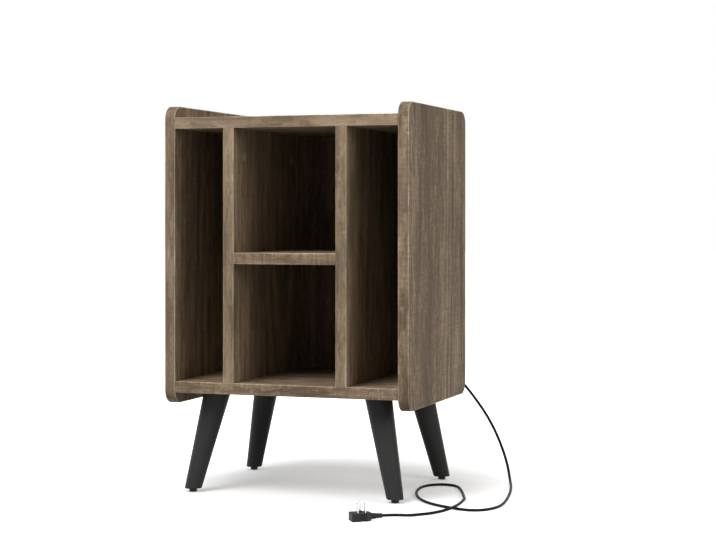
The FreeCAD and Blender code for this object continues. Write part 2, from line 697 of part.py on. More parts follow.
def make_back_panel(hardware):
    body = new_body("back_panel")
    sketch = new_sketch(body, "XZ_Plane", f"-({BACK_FACE} + back_panel_thickness)")
    add_rectangle(sketch, f"-{INNER_WIDTH} / 2", "floor_gap + board_thickness", INNER_WIDTH, BAY_HEIGHT)
    add_rectangle(sketch, f"station_offset - {HOUSING_WIDTH} / 2 - housing_clearance",
                  f"{STATION_HEIGHT} - {HOUSING_HEIGHT} / 2 - housing_clearance",
                  f"{HOUSING_WIDTH} + 2 * housing_clearance", f"{HOUSING_HEIGHT} + 2 * housing_clearance")
    pad(body, sketch, "back_panel_thickness")
    keep("back_panel", cut("back_panel", body, hardware + [nodes["faceplate_screws"]]))


# Legs


LEG_CORNERS = [("front_left", LEFT, FRONT), ("front_right", RIGHT, FRONT),
               ("rear_left", LEFT, BACK), ("rear_right", RIGHT, BACK)]


def leg_root(side, end):
    """Where a leg's axis meets the bottom panel's underside."""
    inset = size("leg_front_inset") if end == FRONT else size("leg_rear_inset")
    return (side * (size("cabinet_width") / 2 - size("leg_side_inset"))
            + end * (size("cabinet_depth") / 2 - inset) + UP * size("floor_gap"))


def leg_run(side, end):
    """The leg's axis from the underside down to the floor."""
    return side * size("leg_splay_out") + end * size("leg_splay_along") + DOWN * size("floor_gap")


def leg_seat(side, end):
    """The place of the leg's top: its Z axis runs up the leg."""
    return Placement(leg_root(side, end), Rotation(UP, -leg_run(side, end)))


def leg_axis_at(side, end, height):
    return leg_root(side, end) + leg_run(side, end) * ((size("floor_gap") - height) / size("floor_gap"))


def plate_screw_places():
    half = size("plate_screw_pitch") / 2
    return [facing(leg_root(side, end) + Vector(x, y, 0), UP)
            for corner, side, end in LEG_CORNERS for x in (-half, half) for y in (-half, half)]


def hanger_bolt_master():
    bolt = rod("hanger_bolt", "hanger_bolt_diameter", "hanger_bolt_in_leg + boss_height")
    return move(bolt, "0", "0", "-hanger_bolt_in_leg")


def rounded_square(name, wide, high, radius):
    """An upright square slab about its own middle, with round corners."""
    body = new_body(name)
    sketch = new_sketch(body, "XY_Plane")
    add_rectangle(sketch, f"-({wide}) / 2", f"-({wide}) / 2", f"({wide})", f"({wide})")
    pad(body, sketch, high)
    dress(body, "Fillet", find_edges(body, along(UP)), radius)
    return body


def leg_plate_recess():
    """What the bottom panel loses over a leg: the plate's recess and the boss's hole."""
    slab = rounded_square("plate_recess", "plate_size + 2 * plate_clearance", "plate_thickness + overrun",
                          "plate_corner_radius + plate_clearance")
    move(slab, "0", "0", "-overrun")
    hole = rod("boss_hole", BOSS_HOLE_DIAMETER, f"{BOSS_HOLE_DEPTH} + overrun")
    return together("leg_plate_recess", [slab, move(hole, "0", "0", "-overrun")])


def make_leg_hardware():
    """Screws, bolts and inserts of the legs. Returns what they take out of the bottom panel."""
    screws = group("leg_plate_screws", countersunk_screw("plate_screw", "plate_screw"), plate_screw_places())
    seats = [leg_seat(side, end) for corner, side, end in LEG_CORNERS]
    heels = [Placement(leg_axis_at(side, end, size("foot_height")), NO_TURN)
             for corner, side, end in LEG_CORNERS]
    roots = [Placement(leg_root(side, end), NO_TURN) for corner, side, end in LEG_CORNERS]
    bore = "foot_screw_diameter / 2 + foot_screw_clearance"
    insert = turned("insert", [(bore, "0"), ("insert_diameter / 2", "0"),
                               ("insert_diameter / 2", "insert_length"), (bore, "insert_length")])
    keep("leg_plate_screws", screws)
    keep("hanger_bolts", group("hanger_bolts", hanger_bolt_master(), seats))
    keep("leg_inserts", group("leg_inserts", insert, heels))
    return [screws, group("leg_plate_recesses", leg_plate_recess(), roots)]


def level_slab(name, middle, low, high):
    """A slab much wider than a leg, about a point of its axis, for cutting something off level."""
    slab = block(name, "3 * leg_top_diameter", "3 * leg_top_diameter", high)
    doc.recompute()
    half = slab.Length.Value / 2
    slab.Placement.Base = middle - Vector(half, half, 0)
    bind(slab, "Placement.Base.z", low)
    return slab


def make_leg_plate(corner, side, end):
    """A flat plate let into the bottom panel, with a slanting threaded boss for the leg's bolt."""
    slab = rounded_square(f"leg_plate_{corner}", "plate_size", "plate_thickness", "plate_corner_radius")
    slab.Placement.Base = leg_root(side, end)
    boss = rod(f"boss_{corner}", "boss_diameter", "boss_height")
    boss.Placement = leg_seat(side, end)
    plate = join(f"leg_plate_{corner}", [slab, boss])
    under = level_slab(f"under_plate_{corner}", leg_root(side, end), "floor_gap - boss_diameter",
                       "boss_diameter")
    keep(f"leg_plate_{corner}", cut(f"leg_plate_{corner}", plate, [
        under, nodes["leg_plate_screws"], nodes["hanger_bolts"]]))


def make_leg(corner, side, end):
    """A round tapered leg, cut off level at both ends, with a bolt's hole above and a foot's below."""
    cone = doc.addObject("Part::Cone", f"leg_cone_{corner}")
    bind(cone, "Height", f"{LEG_LENGTH} + leg_top_diameter")
    bind(cone, "Radius2", f"(leg_top_diameter + {LEG_TAPER} * leg_top_diameter / 2) / 2")
    bind(cone, "Radius1", f"(leg_foot_diameter - {LEG_TAPER} * leg_top_diameter / 2) / 2")
    doc.recompute()
    heel = leg_axis_at(side, end, size("foot_height"))
    turn = Rotation(UP, -leg_run(side, end))
    cone.Placement = Placement(heel + turn.multVec(DOWN * (size("leg_top_diameter") / 2)), turn)
    above = level_slab(f"above_{corner}", leg_root(side, end), "floor_gap", "leg_top_diameter")
    below = level_slab(f"below_{corner}", heel, "foot_height - leg_top_diameter", "leg_top_diameter")
    foot_hole = rod(f"foot_hole_{corner}", "insert_diameter", "foot_screw_in_leg + screw_room + overrun")
    foot_hole.Placement.Base = heel + DOWN * size("overrun")
    keep(f"leg_{corner}", cut(f"leg_{corner}", cone, [above, below, foot_hole, nodes["hanger_bolts"]]))


def make_foot(corner, side, end):
    """A levelling foot: a pad under the leg and the screw that carries it."""
    floor_point = Placement(Vector(*(leg_axis_at(side, end, size("foot_height")))[:2], 0), NO_TURN)
    rim, neck, screw = "foot_pad_diameter / 2", "foot_neck_diameter / 2", "foot_screw_diameter / 2"
    socket = "foot_height - foot_screw_in_pad"
    footpad = turned(f"foot_pad_{corner}", [
        ("0", "0"), (f"{rim} - foot_pad_bevel", "0"), (rim, "foot_pad_bevel"), (rim, "foot_pad_height"),
        (neck, "foot_pad_height"), (neck, "foot_height"), (screw, "foot_height"), (screw, socket),
        ("0", socket)])
    footpad.Placement = floor_point
    keep(f"foot_pad_{corner}", footpad)
    stem = rod(f"foot_screw_{corner}", "foot_screw_diameter", "foot_screw_in_pad + foot_screw_in_leg")
    stem.Placement = floor_point
    bind(stem, "Placement.Base.z", socket)
    keep(f"foot_screw_{corner}", stem)


def make_legs():
    for corner, side, end in LEG_CORNERS:
        make_leg_plate(corner, side, end)
        make_leg(corner, side, end)
        make_foot(corner, side, end)


# Charging station, each piece drawn about the station's middle at the back panel's face


def at_station(item, across="0", depth="0", rise="0"):
    return move(item, f"station_offset + {across}", f"{BACK_FACE} + {depth}", f"{STATION_HEIGHT} + {rise}")


def usb_port_rises():
    """Heights of the two ports over the station's middle, as formulas."""
    upper = f"({USB_RISE} + usb_upper_rise)"
    return {"upper": upper, "lower": f"({upper} - usb_port_pitch)"}


def make_faceplate_screws():
    master = countersunk_screw("faceplate_screw", "faceplate_screw")
    screws = [at_station(linked(f"faceplate_screw_{end}", master, facing(Vector(), BACK)), "0",
                         "(-faceplate_thickness)", f"{way} * {SCREW_PITCH} / 2")
              for end, way in (("upper", "1"), ("lower", "-1"))]
    keep("faceplate_screws", together("faceplate_screws", screws))


def make_faceplate():
    """The faceplate: a sloping rim, two square windows, a recess with two ports and a light hole."""
    body = new_body("faceplate")
    sketch = new_sketch(body, "XZ_Plane")
    add_rectangle(sketch, f"-{FACEPLATE_WIDTH} / 2", f"-{FACEPLATE_HEIGHT} / 2", FACEPLATE_WIDTH,
                  FACEPLATE_HEIGHT)
    pad(body, sketch, "faceplate_thickness")
    rim = dress(body, "Chamfer", find_faces(body, FRONT), "faceplate_bevel_depth")
    rim.ChamferType = "Two distances"
    bind(rim, "Size2", "faceplate_bevel_width")
    doc.recompute()
    windows = new_sketch(body, "XZ_Plane")
    for rise in (UPPER_OUTLET, LOWER_OUTLET):
        add_rectangle(windows, "-outlet_face / 2 - outlet_gap", f"{rise} - outlet_face / 2 - outlet_gap",
                      "outlet_face + 2 * outlet_gap", "outlet_face + 2 * outlet_gap")
    add_port_windows(windows)
    add_circle(windows, LIGHT_OFFSET, LIGHT_RISE, "light_diameter")
    pocket(body, windows, "faceplate_thickness + overrun", towards_normal=True)
    recess = new_sketch(body, "XZ_Plane", "faceplate_thickness")
    add_rectangle(recess, "-usb_cover_width / 2 - usb_cover_gap",
                  f"{USB_RISE} - usb_cover_height / 2 - usb_cover_gap",
                  "usb_cover_width + 2 * usb_cover_gap", "usb_cover_height + 2 * usb_cover_gap")
    pocket(body, recess, "usb_cover_thickness")
    keep("station_faceplate", cut("station_faceplate", at_station(body), [nodes["faceplate_screws"]]))


def add_port_windows(sketch):
    for rise in usb_port_rises().values():
        add_rectangle(sketch, "-usb_port_width / 2 - usb_clearance",
                      f"{rise} - usb_port_height / 2 - usb_clearance",
                      "usb_port_width + 2 * usb_clearance", "usb_port_height + 2 * usb_clearance")


def make_usb_module():
    cover = new_body("usb_cover")
    outline = new_sketch(cover, "XZ_Plane", "faceplate_thickness - usb_cover_thickness")
    add_rectangle(outline, "-usb_cover_width / 2", f"{USB_RISE} - usb_cover_height / 2",
                  "usb_cover_width", "usb_cover_height")
    pad(cover, outline, "usb_cover_thickness")
    dress(cover, "Fillet", find_edges(cover, along(BACK)), "usb_cover_radius")
    windows = new_sketch(cover, "XZ_Plane")
    add_port_windows(windows)
    pocket(cover, windows, "faceplate_thickness + overrun", towards_normal=True)
    keep("usb_cover", at_station(cover))
    for level, rise in usb_port_rises().items():
        make_usb_port(level, rise)
    board = block("usb_circuit_board", "usb_board_width", "usb_board_thickness", "usb_board_height")
    keep("usb_circuit_board", at_station(board, "(-usb_board_width / 2)",
                                         "usb_port_depth - faceplate_thickness",
                                         f"({USB_RISE} - usb_board_height / 2)"))


def make_usb_port(level, rise):
    """A thin metal shell, open at the front, and the tongue inside it."""
    shell = new_body(f"usb_port_{level}")
    outline = new_sketch(shell, "XZ_Plane", "faceplate_thickness - usb_port_depth")
    add_rectangle(outline, "-usb_port_width / 2", f"{rise} - usb_port_height / 2",
                  "usb_port_width", "usb_port_height")
    add_rectangle(outline, "-usb_port_width / 2 + usb_wall", f"{rise} - usb_port_height / 2 + usb_wall",
                  "usb_port_width - 2 * usb_wall", "usb_port_height - 2 * usb_wall")
    pad(shell, outline, "usb_port_depth")
    keep(f"usb_port_{level}", at_station(shell))
    tongue = block(f"usb_tongue_{level}", "usb_tongue_width", "usb_tongue_reach", "usb_tongue_height")
    keep(f"usb_tongue_{level}", at_station(
        tongue, "(-usb_tongue_width / 2)", "usb_port_depth - faceplate_thickness - usb_tongue_reach",
        f"{rise} + usb_tongue_rise - usb_tongue_height / 2"))


def make_outlet(level, rise):
    """An outlet: a block behind the faceplate and a square face with two slots and a ground hole."""
    name = f"outlet_{level}"
    body = new_body(name)
    block_outline = new_sketch(body, "XZ_Plane", "-outlet_block_depth")
    add_rectangle(block_outline, "-outlet_block_width / 2", f"{rise} - outlet_block_height / 2",
                  "outlet_block_width", "outlet_block_height")
    pad(body, block_outline, "outlet_block_depth")
    face_outline = new_sketch(body, "XZ_Plane")
    add_rectangle(face_outline, "-outlet_face / 2", f"{rise} - outlet_face / 2", "outlet_face", "outlet_face")
    pad(body, face_outline, "faceplate_thickness - outlet_setback")
    slots = new_sketch(body, "XZ_Plane", "faceplate_thickness - outlet_setback")
    centre = "(-ground_spacing / 2 + outlet_slot_width / 2)"
    for way, length in (("-", "neutral_slot_length"), ("+", "line_slot_length")):
        add_rectangle(slots, f"{centre} - {length} / 2",
                      f"{rise} {way} blade_spacing / 2 - outlet_slot_width / 2",
                      length, "outlet_slot_width")
    ground = f"{centre} + ground_spacing"
    add_circle(slots, ground, rise, "outlet_ground_diameter")
    pocket(body, slots, "outlet_depth")
    square = new_sketch(body, "XZ_Plane", "faceplate_thickness - outlet_setback")
    add_rectangle(square, ground, f"{rise} - outlet_ground_diameter / 2", "outlet_ground_diameter / 2",
                  "outlet_ground_diameter")
    pocket(body, square, "outlet_depth")
    keep(name, at_station(body))


def make_housing():
    """The box behind the back panel, open towards the faceplate, with the cord's hole below."""
    depth = "(back_panel_thickness + back_recess)"
    box = block("housing_box", HOUSING_WIDTH, depth, HOUSING_HEIGHT)
    at_station(box, f"(-{HOUSING_WIDTH} / 2)", "0", f"(-{HOUSING_HEIGHT} / 2)")
    hollow = block("housing_hollow", f"{HOUSING_WIDTH} - 2 * housing_wall",
                   f"{depth} - housing_wall + overrun", f"{HOUSING_HEIGHT} - 2 * housing_wall")
    at_station(hollow, f"(housing_wall - {HOUSING_WIDTH} / 2)", "(-overrun)",
               f"(housing_wall - {HOUSING_HEIGHT} / 2)")
    hole = rod("cord_hole", "gland_neck_diameter", "housing_wall + 2 * overrun")
    at_station(hole, "0", GLAND_DEPTH, f"(-{HOUSING_HEIGHT} / 2 - overrun)")
    keep("station_housing", cut("station_housing", box, [hollow, hole]))


def make_contacts():
    """Three brass bars behind the outlets: line, ground and neutral."""
    bars = []
    low = f"({LOWER_OUTLET} - outlet_block_height / 2)"
    for number, across in enumerate(("-bus_bar_spacing", "0", "bus_bar_spacing")):
        bar = block(f"bus_bar_{number}", "bus_bar_width", "bus_bar_thickness",
                    "2 * outlet_block_height + outlet_spacing")
        bars.append(at_station(bar, f"({across} - bus_bar_width / 2)", "outlet_block_depth", low))
    keep("outlet_contacts", together("outlet_contacts", bars))


def make_indicator_light():
    lens, flange = "light_diameter / 2", "light_flange_diameter / 2"
    light = turned("indicator_light", [
        ("0", "-light_flange_length"), (flange, "-light_flange_length"), (flange, "0"), (lens, "0"),
        (lens, "faceplate_thickness + light_proud"), ("0", "faceplate_thickness + light_proud")])
    light.Placement.Rotation = Rotation(UP, FRONT)
    keep("indicator_light", at_station(light, LIGHT_OFFSET, "0", LIGHT_RISE))


def make_gland():
    """The strain relief in the housing's lower wall, tapering down to the cord."""
    flange, neck, collar = "gland_flange_diameter / 2", "gland_neck_diameter / 2", "gland_collar_diameter / 2"
    below = "(-gland_collar_length)"
    tip = f"({below} - gland_taper_length)"
    gland = turned("cord_strain_relief", [
        ("0", tip), ("gland_tip_diameter / 2", tip), ("gland_top_diameter / 2", below), (collar, below),
        (collar, "0"), (neck, "0"), (neck, "housing_wall"), (flange, "housing_wall"),
        (flange, "housing_wall + gland_flange_length"), ("0", "housing_wall + gland_flange_length")])
    keep("cord_strain_relief", at_station(gland, "0", GLAND_DEPTH, f"(-{HOUSING_HEIGHT} / 2)"))


def make_station():
    make_faceplate()
    make_outlet("upper", UPPER_OUTLET)
    make_outlet("lower", LOWER_OUTLET)
    make_contacts()
    make_usb_module()
    make_indicator_light()
    make_housing()
    make_gland()


# Power cord and plug


def cord_edges(points):
    """Straight runs joined by tangent arcs, each arc as large as its two runs allow."""
    edges = []
    radii = []
    start = points[0]
    for before, corner, after in zip(points, points[1:], points[2:]):
        back = (before - corner).normalize()
        ahead = (after - corner).normalize()
        reach = ARC_SHARE * min((before - corner).Length, (after - corner).Length)
        half_turn = (math.pi - back.getAngle(ahead)) / 2
        radius = reach / math.tan(half_turn)
        bisector = (back + ahead).normalize()
        middle = corner + bisector * (radius / math.cos(half_turn) - radius)
        first, last = corner + back * reach, corner + ahead * reach
        edges.append(Part.LineSegment(start, first).toShape())
        edges.append(Part.Arc(first, middle, last).toShape())
        radii.append(radius)
        start = last
    edges.append(Part.LineSegment(start, points[-1]).toShape())
    return edges, radii


def make_cord():
    points = [Vector(*point) for point in CORD_ROUTE]
    edges, radii = cord_edges(points)
    route = doc.addObject("Part::Feature", "cord_route")
    route.Shape = Part.Wire(edges)
    section = doc.addObject("Part::Circle", "cord_section")
    bind(section, "Radius", "cord_diameter / 2")
    section.Placement = facing(points[0], (points[1] - points[0]).normalize())
    tube = doc.addObject("Part::Sweep", "cord_tube")
    tube.Sections = [section]
    tube.Spine = (route, [f"Edge{number}" for number in range(1, len(edges) + 1)])
    tube.Solid = True
    tube.Frenet = False
    doc.recompute()
    length = route.Shape.Length
    expected = math.pi * size("cord_diameter") ** 2 / 4 * length
    print("cord bend radii:", " ".join(f"{radius:.0f}" for radius in radii))
    print(f"cord length {length:.0f}, tube volume over section times length "
          f"{tube.Shape.Volume / expected:.4f}")
    keep("power_cord", tube)


def plug_place():
    """The plug's own frame: its middle on the floor, X along the cord towards the plug's exit."""
    end, before = Vector(*CORD_ROUTE[-1]), Vector(*CORD_ROUTE[-2])
    axis = (before - end).normalize()
    middle = end - axis * (size("plug_length") / 2 + size("plug_relief_length"))
    floor_middle = Vector(middle.x, middle.y, middle.z - size("plug_height") / 2)
    return Placement(floor_middle, Rotation(axis, UP.cross(axis), UP, "ZXY"))


def make_plug():
    """A flat plug on its back: a body with shoulders, a grooved strain relief and three prongs."""
    place = plug_place()
    body = new_body("plug_body")
    outline = new_sketch(body, "XY_Plane")
    add_outline(outline, [
        ("-plug_length / 2", "-plug_width / 2"),
        ("plug_length / 2 - plug_shoulder_length", "-plug_width / 2"),
        ("plug_length / 2", "-plug_neck_width / 2"), ("plug_length / 2", "plug_neck_width / 2"),
        ("plug_length / 2 - plug_shoulder_length", "plug_width / 2"),
        ("-plug_length / 2", "plug_width / 2")])
    pad(body, outline, "plug_height")
    dress(body, "Fillet", find_edges(body, along(UP)), "plug_round")
    dress(body, "Fillet", find_faces(body, UP) + find_faces(body, DOWN), "plug_round / 2")
    boss = new_sketch(body, "XY_Plane", "plug_height")
    add_circle(boss, "0", GROUND_OFFSET, "ground_boss_diameter")
    pad(body, boss, "ground_boss_height")
    body.Placement = place
    make_prongs(place)
    keep("plug_body", cut("plug_body", body, [nodes["plug_blades"], nodes["plug_ground_pin"]]))
    make_plug_relief(place)


def make_prongs(place):
    blade = new_body("blade")
    outline = new_sketch(blade, "YZ_Plane", "-blade_thickness / 2")
    half, top = "blade_width / 2", "plug_height + blade_length"
    root = "plug_height - prong_anchor"
    add_outline(outline, [(f"-{half}", root), (half, root), (half, f"{top} - blade_bevel"),
                          (f"{half} - blade_bevel", top), (f"-{half} + blade_bevel", top),
                          (f"-{half}", f"{top} - blade_bevel")])
    pad(blade, outline, "blade_thickness")
    apart = size("blade_spacing") / 2
    beside = -size("ground_spacing") / 2
    places = [place.multiply(Placement(Vector(x, beside, 0), NO_TURN)) for x in (-apart, apart)]
    keep("plug_blades", group("plug_blades", blade, places))
    pin, tip = "ground_pin_diameter / 2", "plug_height + ground_pin_length"
    ground = turned("plug_ground_pin", [("0", root), (pin, root), (pin, f"{tip} - {pin} / 2"),
                                        (f"{pin} / 2", tip), ("0", tip)])
    ground.Placement = place.multiply(Placement(BACK * (size("ground_spacing") / 2), NO_TURN))
    keep("plug_ground_pin", ground)


RELIEF_RIB_SHARES = [0, 0.2, 0.28, 0.46, 0.54, 0.72, 0.8, 1]


def make_plug_relief(place):
    """The strain relief behind the plug: a taper with three grooves round it."""
    corners = [("0", "0")]
    for step, share in enumerate(RELIEF_RIB_SHARES):
        outer = f"(plug_relief_root + {share} * (plug_relief_tip - plug_relief_root)) / 2"
        inner = f"{outer} - plug_relief_groove"
        height = f"{share} * plug_relief_length"
        starts_groove = step % 2 == 1 and share < 1
        ends_groove = step % 2 == 0 and share > 0
        if starts_groove:
            corners += [(outer, height), (inner, height)]
        elif ends_groove:
            corners += [(inner, height), (outer, height)]
        else:
            corners += [(outer, height)]
    corners += [("0", "plug_relief_length")]
    relief = turned("plug_strain_relief", corners)
    start = place.multVec(RIGHT * (size("plug_length") / 2) + UP * (size("plug_height") / 2))
    relief.Placement = Placement(start, place.Rotation.multiply(Rotation(UP, RIGHT)))
    keep("plug_strain_relief", relief)


def check_document():
    """Stop on any failed object or any sub-part without a sound shape."""
    for item in doc.Objects:
        if "Invalid" in item.State or "Error" in item.State:
            raise RuntimeError(f"{item.Label} failed: {item.State}")
    for label, item in nodes.items():
        if item.Shape.isNull() or not item.Shape.isValid() or not item.Shape.Solids:
            raise RuntimeError(f"{label} has no sound shape")


def write_parts():
    os.makedirs("parts", exist_ok=True)
    for label, item in nodes.items():
        item.Shape.exportStep(f"parts/{label}.step")
    print(len(nodes), "parts written")


fill_sheet()
make_faceplate_screws()
make_carcass()
make_legs()
make_station()
make_cord()
make_plug()
doc.recompute()
check_document()
write_parts()
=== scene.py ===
import json
import math

import bmesh
import bpy
from bmesh.types import BMEdge, BMFace, BMVert
from bpy.props import FloatProperty, FloatVectorProperty, PointerProperty
from mathutils import Matrix, Vector

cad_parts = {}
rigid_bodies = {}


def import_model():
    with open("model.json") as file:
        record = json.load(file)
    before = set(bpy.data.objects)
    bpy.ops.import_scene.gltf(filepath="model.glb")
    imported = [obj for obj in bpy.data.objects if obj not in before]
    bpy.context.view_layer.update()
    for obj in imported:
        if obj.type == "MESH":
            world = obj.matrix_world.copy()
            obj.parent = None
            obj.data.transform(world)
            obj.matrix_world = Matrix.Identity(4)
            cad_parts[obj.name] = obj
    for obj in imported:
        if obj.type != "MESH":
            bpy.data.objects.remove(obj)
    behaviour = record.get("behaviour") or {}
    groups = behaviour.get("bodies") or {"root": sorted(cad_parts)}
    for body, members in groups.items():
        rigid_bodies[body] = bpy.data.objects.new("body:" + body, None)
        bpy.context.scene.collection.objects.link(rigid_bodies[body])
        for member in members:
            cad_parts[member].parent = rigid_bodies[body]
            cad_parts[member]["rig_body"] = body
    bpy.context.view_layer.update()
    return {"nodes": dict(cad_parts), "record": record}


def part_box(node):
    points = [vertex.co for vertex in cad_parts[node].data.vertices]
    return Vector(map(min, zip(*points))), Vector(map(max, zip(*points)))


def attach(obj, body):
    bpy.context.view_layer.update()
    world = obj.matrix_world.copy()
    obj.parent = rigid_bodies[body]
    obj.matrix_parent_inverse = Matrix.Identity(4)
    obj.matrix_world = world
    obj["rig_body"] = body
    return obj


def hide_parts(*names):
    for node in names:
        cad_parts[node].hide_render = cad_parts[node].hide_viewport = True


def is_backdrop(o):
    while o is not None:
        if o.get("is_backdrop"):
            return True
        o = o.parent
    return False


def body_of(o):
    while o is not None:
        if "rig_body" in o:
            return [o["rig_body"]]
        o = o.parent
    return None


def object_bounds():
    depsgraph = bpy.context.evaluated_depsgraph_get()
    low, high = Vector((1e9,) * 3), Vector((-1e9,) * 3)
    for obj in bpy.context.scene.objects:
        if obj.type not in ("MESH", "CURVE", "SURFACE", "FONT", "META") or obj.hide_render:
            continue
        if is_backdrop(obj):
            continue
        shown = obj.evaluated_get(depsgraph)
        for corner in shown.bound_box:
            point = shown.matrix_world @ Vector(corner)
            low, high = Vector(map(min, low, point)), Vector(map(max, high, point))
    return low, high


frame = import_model()

bl_info = {
    "name": "Record cabinet",
    "version": (1, 0, 0),
    "blender": (4, 5, 0),
    "location": "3D View > Sidebar > Cabinet",
    "description": "Finishes the record cabinet's boards, legs, charging station and power cord",
    "category": "Object",
}

NODES = frame["nodes"]
BODY = "cabinet"
CORNERS = ("front_left", "front_right", "rear_left", "rear_right")
MM = 0.001
UP = Vector((0, 0, 1))
WHITE = (1, 1, 1)
QUARTER_TURN = math.radians(90)

# The photograph's camera, worked out from the cabinet's edges
PHOTO_WIDTH = 716
FOCAL_PIXELS = 1729.1
HORIZON_ABOVE_MIDDLE = 54.5
EYE = (1.1125, -2.9814, 0.4966)
CAMERA_TURN = 19.19
SENSOR_WIDTH = 36

# The lights: the property that holds each one's power, then its width, place and colour
LIGHTS = {
    "key_light": ("key_power", 2.2, (-0.9, -2.2, 3.2), WHITE),
    "side_light": ("side_power", 1.6, (2.95, -1.05, 1.5), (1, 0.955, 0.875)),
    "back_light": ("back_power", 2.0, (0.8, 2.6, 2.6), WHITE),
}

# The floor's colour as it is seen and as it lights the cabinet, the distances between which it
# fades to white, how much it glows near the cabinet, where its shadow lies, and its sheen
FLOOR_SEEN = (0.80, 0.80, 0.80)
FLOOR_LIGHTING = (0.45, 0.45, 0.45)
FLOOR_FADE = (0.20, 0.52)
FLOOR_GLOW = 0.34
FLOOR_CLOUD = (2, 2, 2)
FLOOR_ROUGHNESS, FLOOR_GLOSS = (0.72, 0.80), 0.1

# The cord's route, in metres: the points that its solid follows too
CORD_ROUTE = [
    (0.035, 0.171, 0.445), (0.035, 0.171, 0.424), (0.037, 0.180, 0.392), (0.048, 0.187, 0.354),
    (0.070, 0.190, 0.315), (0.102, 0.190, 0.280), (0.138, 0.190, 0.250), (0.174, 0.190, 0.222),
    (0.209, 0.190, 0.191), (0.242, 0.189, 0.154), (0.273, 0.187, 0.112), (0.295, 0.183, 0.070),
    (0.312, 0.172, 0.030), (0.324, 0.144, 0.0025), (0.339, 0.092, 0.0025), (0.354, 0.027, 0.0025),
    (0.366, -0.041, 0.0025), (0.374, -0.101, 0.0025), (0.373, -0.143, 0.0025),
    (0.358, -0.175, 0.0025), (0.332, -0.184, 0.0025), (0.303, -0.171, 0.0025),
    (0.272, -0.154, 0.0025), (0.240, -0.125, 0.0025), (0.214, -0.083, 0.0025),
    (0.195, -0.031, 0.0025), (0.187, 0.016, 0.0025), (0.190, 0.047, 0.0025),
    (0.205, 0.067, 0.0025), (0.227, 0.071, 0.0025), (0.247, 0.058, 0.0025),
    (0.261, 0.028, 0.0025), (0.277, -0.014, 0.0025), (0.293, -0.062, 0.0035),
    (0.308, -0.112, 0.0085), (0.314, -0.172, 0.0085), (0.304, -0.212, 0.0055),
    (0.284, -0.232, 0.0025), (0.268, -0.250, 0.0025), (0.256, -0.270, 0.0035),
    (0.240, -0.2904, 0.007), (0.222, -0.303, 0.007),
]


# Sizes and colours that a user may change


def length_property(name, description, default):
    return FloatProperty(name=name, description=description, default=default, min=0, max=50,
                         subtype="DISTANCE", unit="LENGTH")


def power_property(name, description, default):
    return FloatProperty(name=name, description=description, default=default, min=0, max=2000,
                         subtype="POWER", unit="POWER")


def colour_property(name, description, default):
    return FloatVectorProperty(name=name, description=description, default=default, min=0, max=1,
                               subtype="COLOR")


class CABINET_PG_laminate(bpy.types.PropertyGroup):
    dark: colour_property("Dark figure", "The laminate's darkest streaks", (0.100, 0.070, 0.045))
    middle: colour_property("Ground", "The laminate's main tone", (0.205, 0.152, 0.102))
    light: colour_property("Light figure", "The laminate's palest streaks", (0.325, 0.252, 0.175))
    fibre: length_property("Fibre width", "Width of the finest grain lines", 1.3 * MM)
    ring: length_property("Ring width", "Width of one growth ring", 9 * MM)


class CABINET_PG_legs(bpy.types.PropertyGroup):
    black: colour_property("Lacquer", "The legs' colour", (0.042, 0.042, 0.042))
    edge_round: length_property("Edge round", "Round along the legs' rims", 0.6 * MM)


class CABINET_PG_feet(bpy.types.PropertyGroup):
    edge_round: length_property("Edge round", "Round along the pads' rims", 0.3 * MM)
    pitch: length_property("Pitch", "One turn of the foot screws' thread", 1 * MM)
    thread_depth: length_property("Thread depth", "Depth of the foot screws' thread", 0.55 * MM)


class CABINET_PG_caps(bpy.types.PropertyGroup):
    colour: colour_property("Caps", "The cover caps' colour", (0.33, 0.26, 0.19))
    edge_round: length_property("Edge round", "Round along the caps' rims", 0.35 * MM)


class CABINET_PG_station(bpy.types.PropertyGroup):
    plate: colour_property("Plate", "The faceplate's colour", (0.048, 0.049, 0.054))
    outlet: colour_property("Outlets", "The outlets' colour", (0.072, 0.072, 0.072))
    light: colour_property("Light", "The indicator light's colour", (0.10, 0.75, 0.34))
    edge_round: length_property("Edge round", "Round along the mouldings' edges", 0.3 * MM)


class CABINET_PG_cord(bpy.types.PropertyGroup):
    diameter: length_property("Diameter", "The power cord's outer diameter", 5 * MM)
    length: length_property("Length", "The power cord's real length", 1.675)
    black: colour_property("Jacket", "The cord's colour", (0.008, 0.008, 0.008))
    grey: colour_property("Mouldings", "The plug's and the reliefs' colour", (0.026, 0.026, 0.026))
    groove_width: length_property("Groove width", "Width of the mouldings' grooves", 1.4 * MM)
    blade_hole: length_property("Blade hole", "Diameter of the hole in each blade", 3 * MM)
    edge_round: length_property("Edge round", "Round along the plug's edges", 0.3 * MM)


class CABINET_PG_stage(bpy.types.PropertyGroup):
    floor_span: length_property("Floor", "Length of the floor's sides", 40)
    key_power: power_property("Key light", "Power of the large light above the front", 114)
    side_power: power_property("Side light", "Power of the light on the right", 28.5)
    back_power: power_property("Back light", "Power of the light behind", 14)
    ambient: FloatProperty(
        name="Ambient", description="Strength of the even light from all round",
        subtype="FACTOR", default=0.25, min=0, max=1)


# Materials

# A noise's roughness, and the range that most of its values lie in
NOISE_ROUGHNESS = 0.55
NOISE_RANGE = (0.3, 0.7)

# The Mix node's sockets for colours, whose names its sockets for numbers share
FIRST_COLOUR, SECOND_COLOUR, MIXED_COLOUR = 6, 7, 2


class Signal:
    """A shader socket that Python's arithmetic works on."""

    def __init__(self, graph, socket):
        self.graph = graph
        self.socket = socket

    def __add__(self, other):
        return self.graph.math("ADD", self, other)

    def __sub__(self, other):
        return self.graph.math("SUBTRACT", self, other)

    def __rsub__(self, other):
        return self.graph.math("SUBTRACT", other, self)

    def __mul__(self, other):
        return self.graph.math("MULTIPLY", self, other)

    __radd__ = __add__
    __rmul__ = __mul__


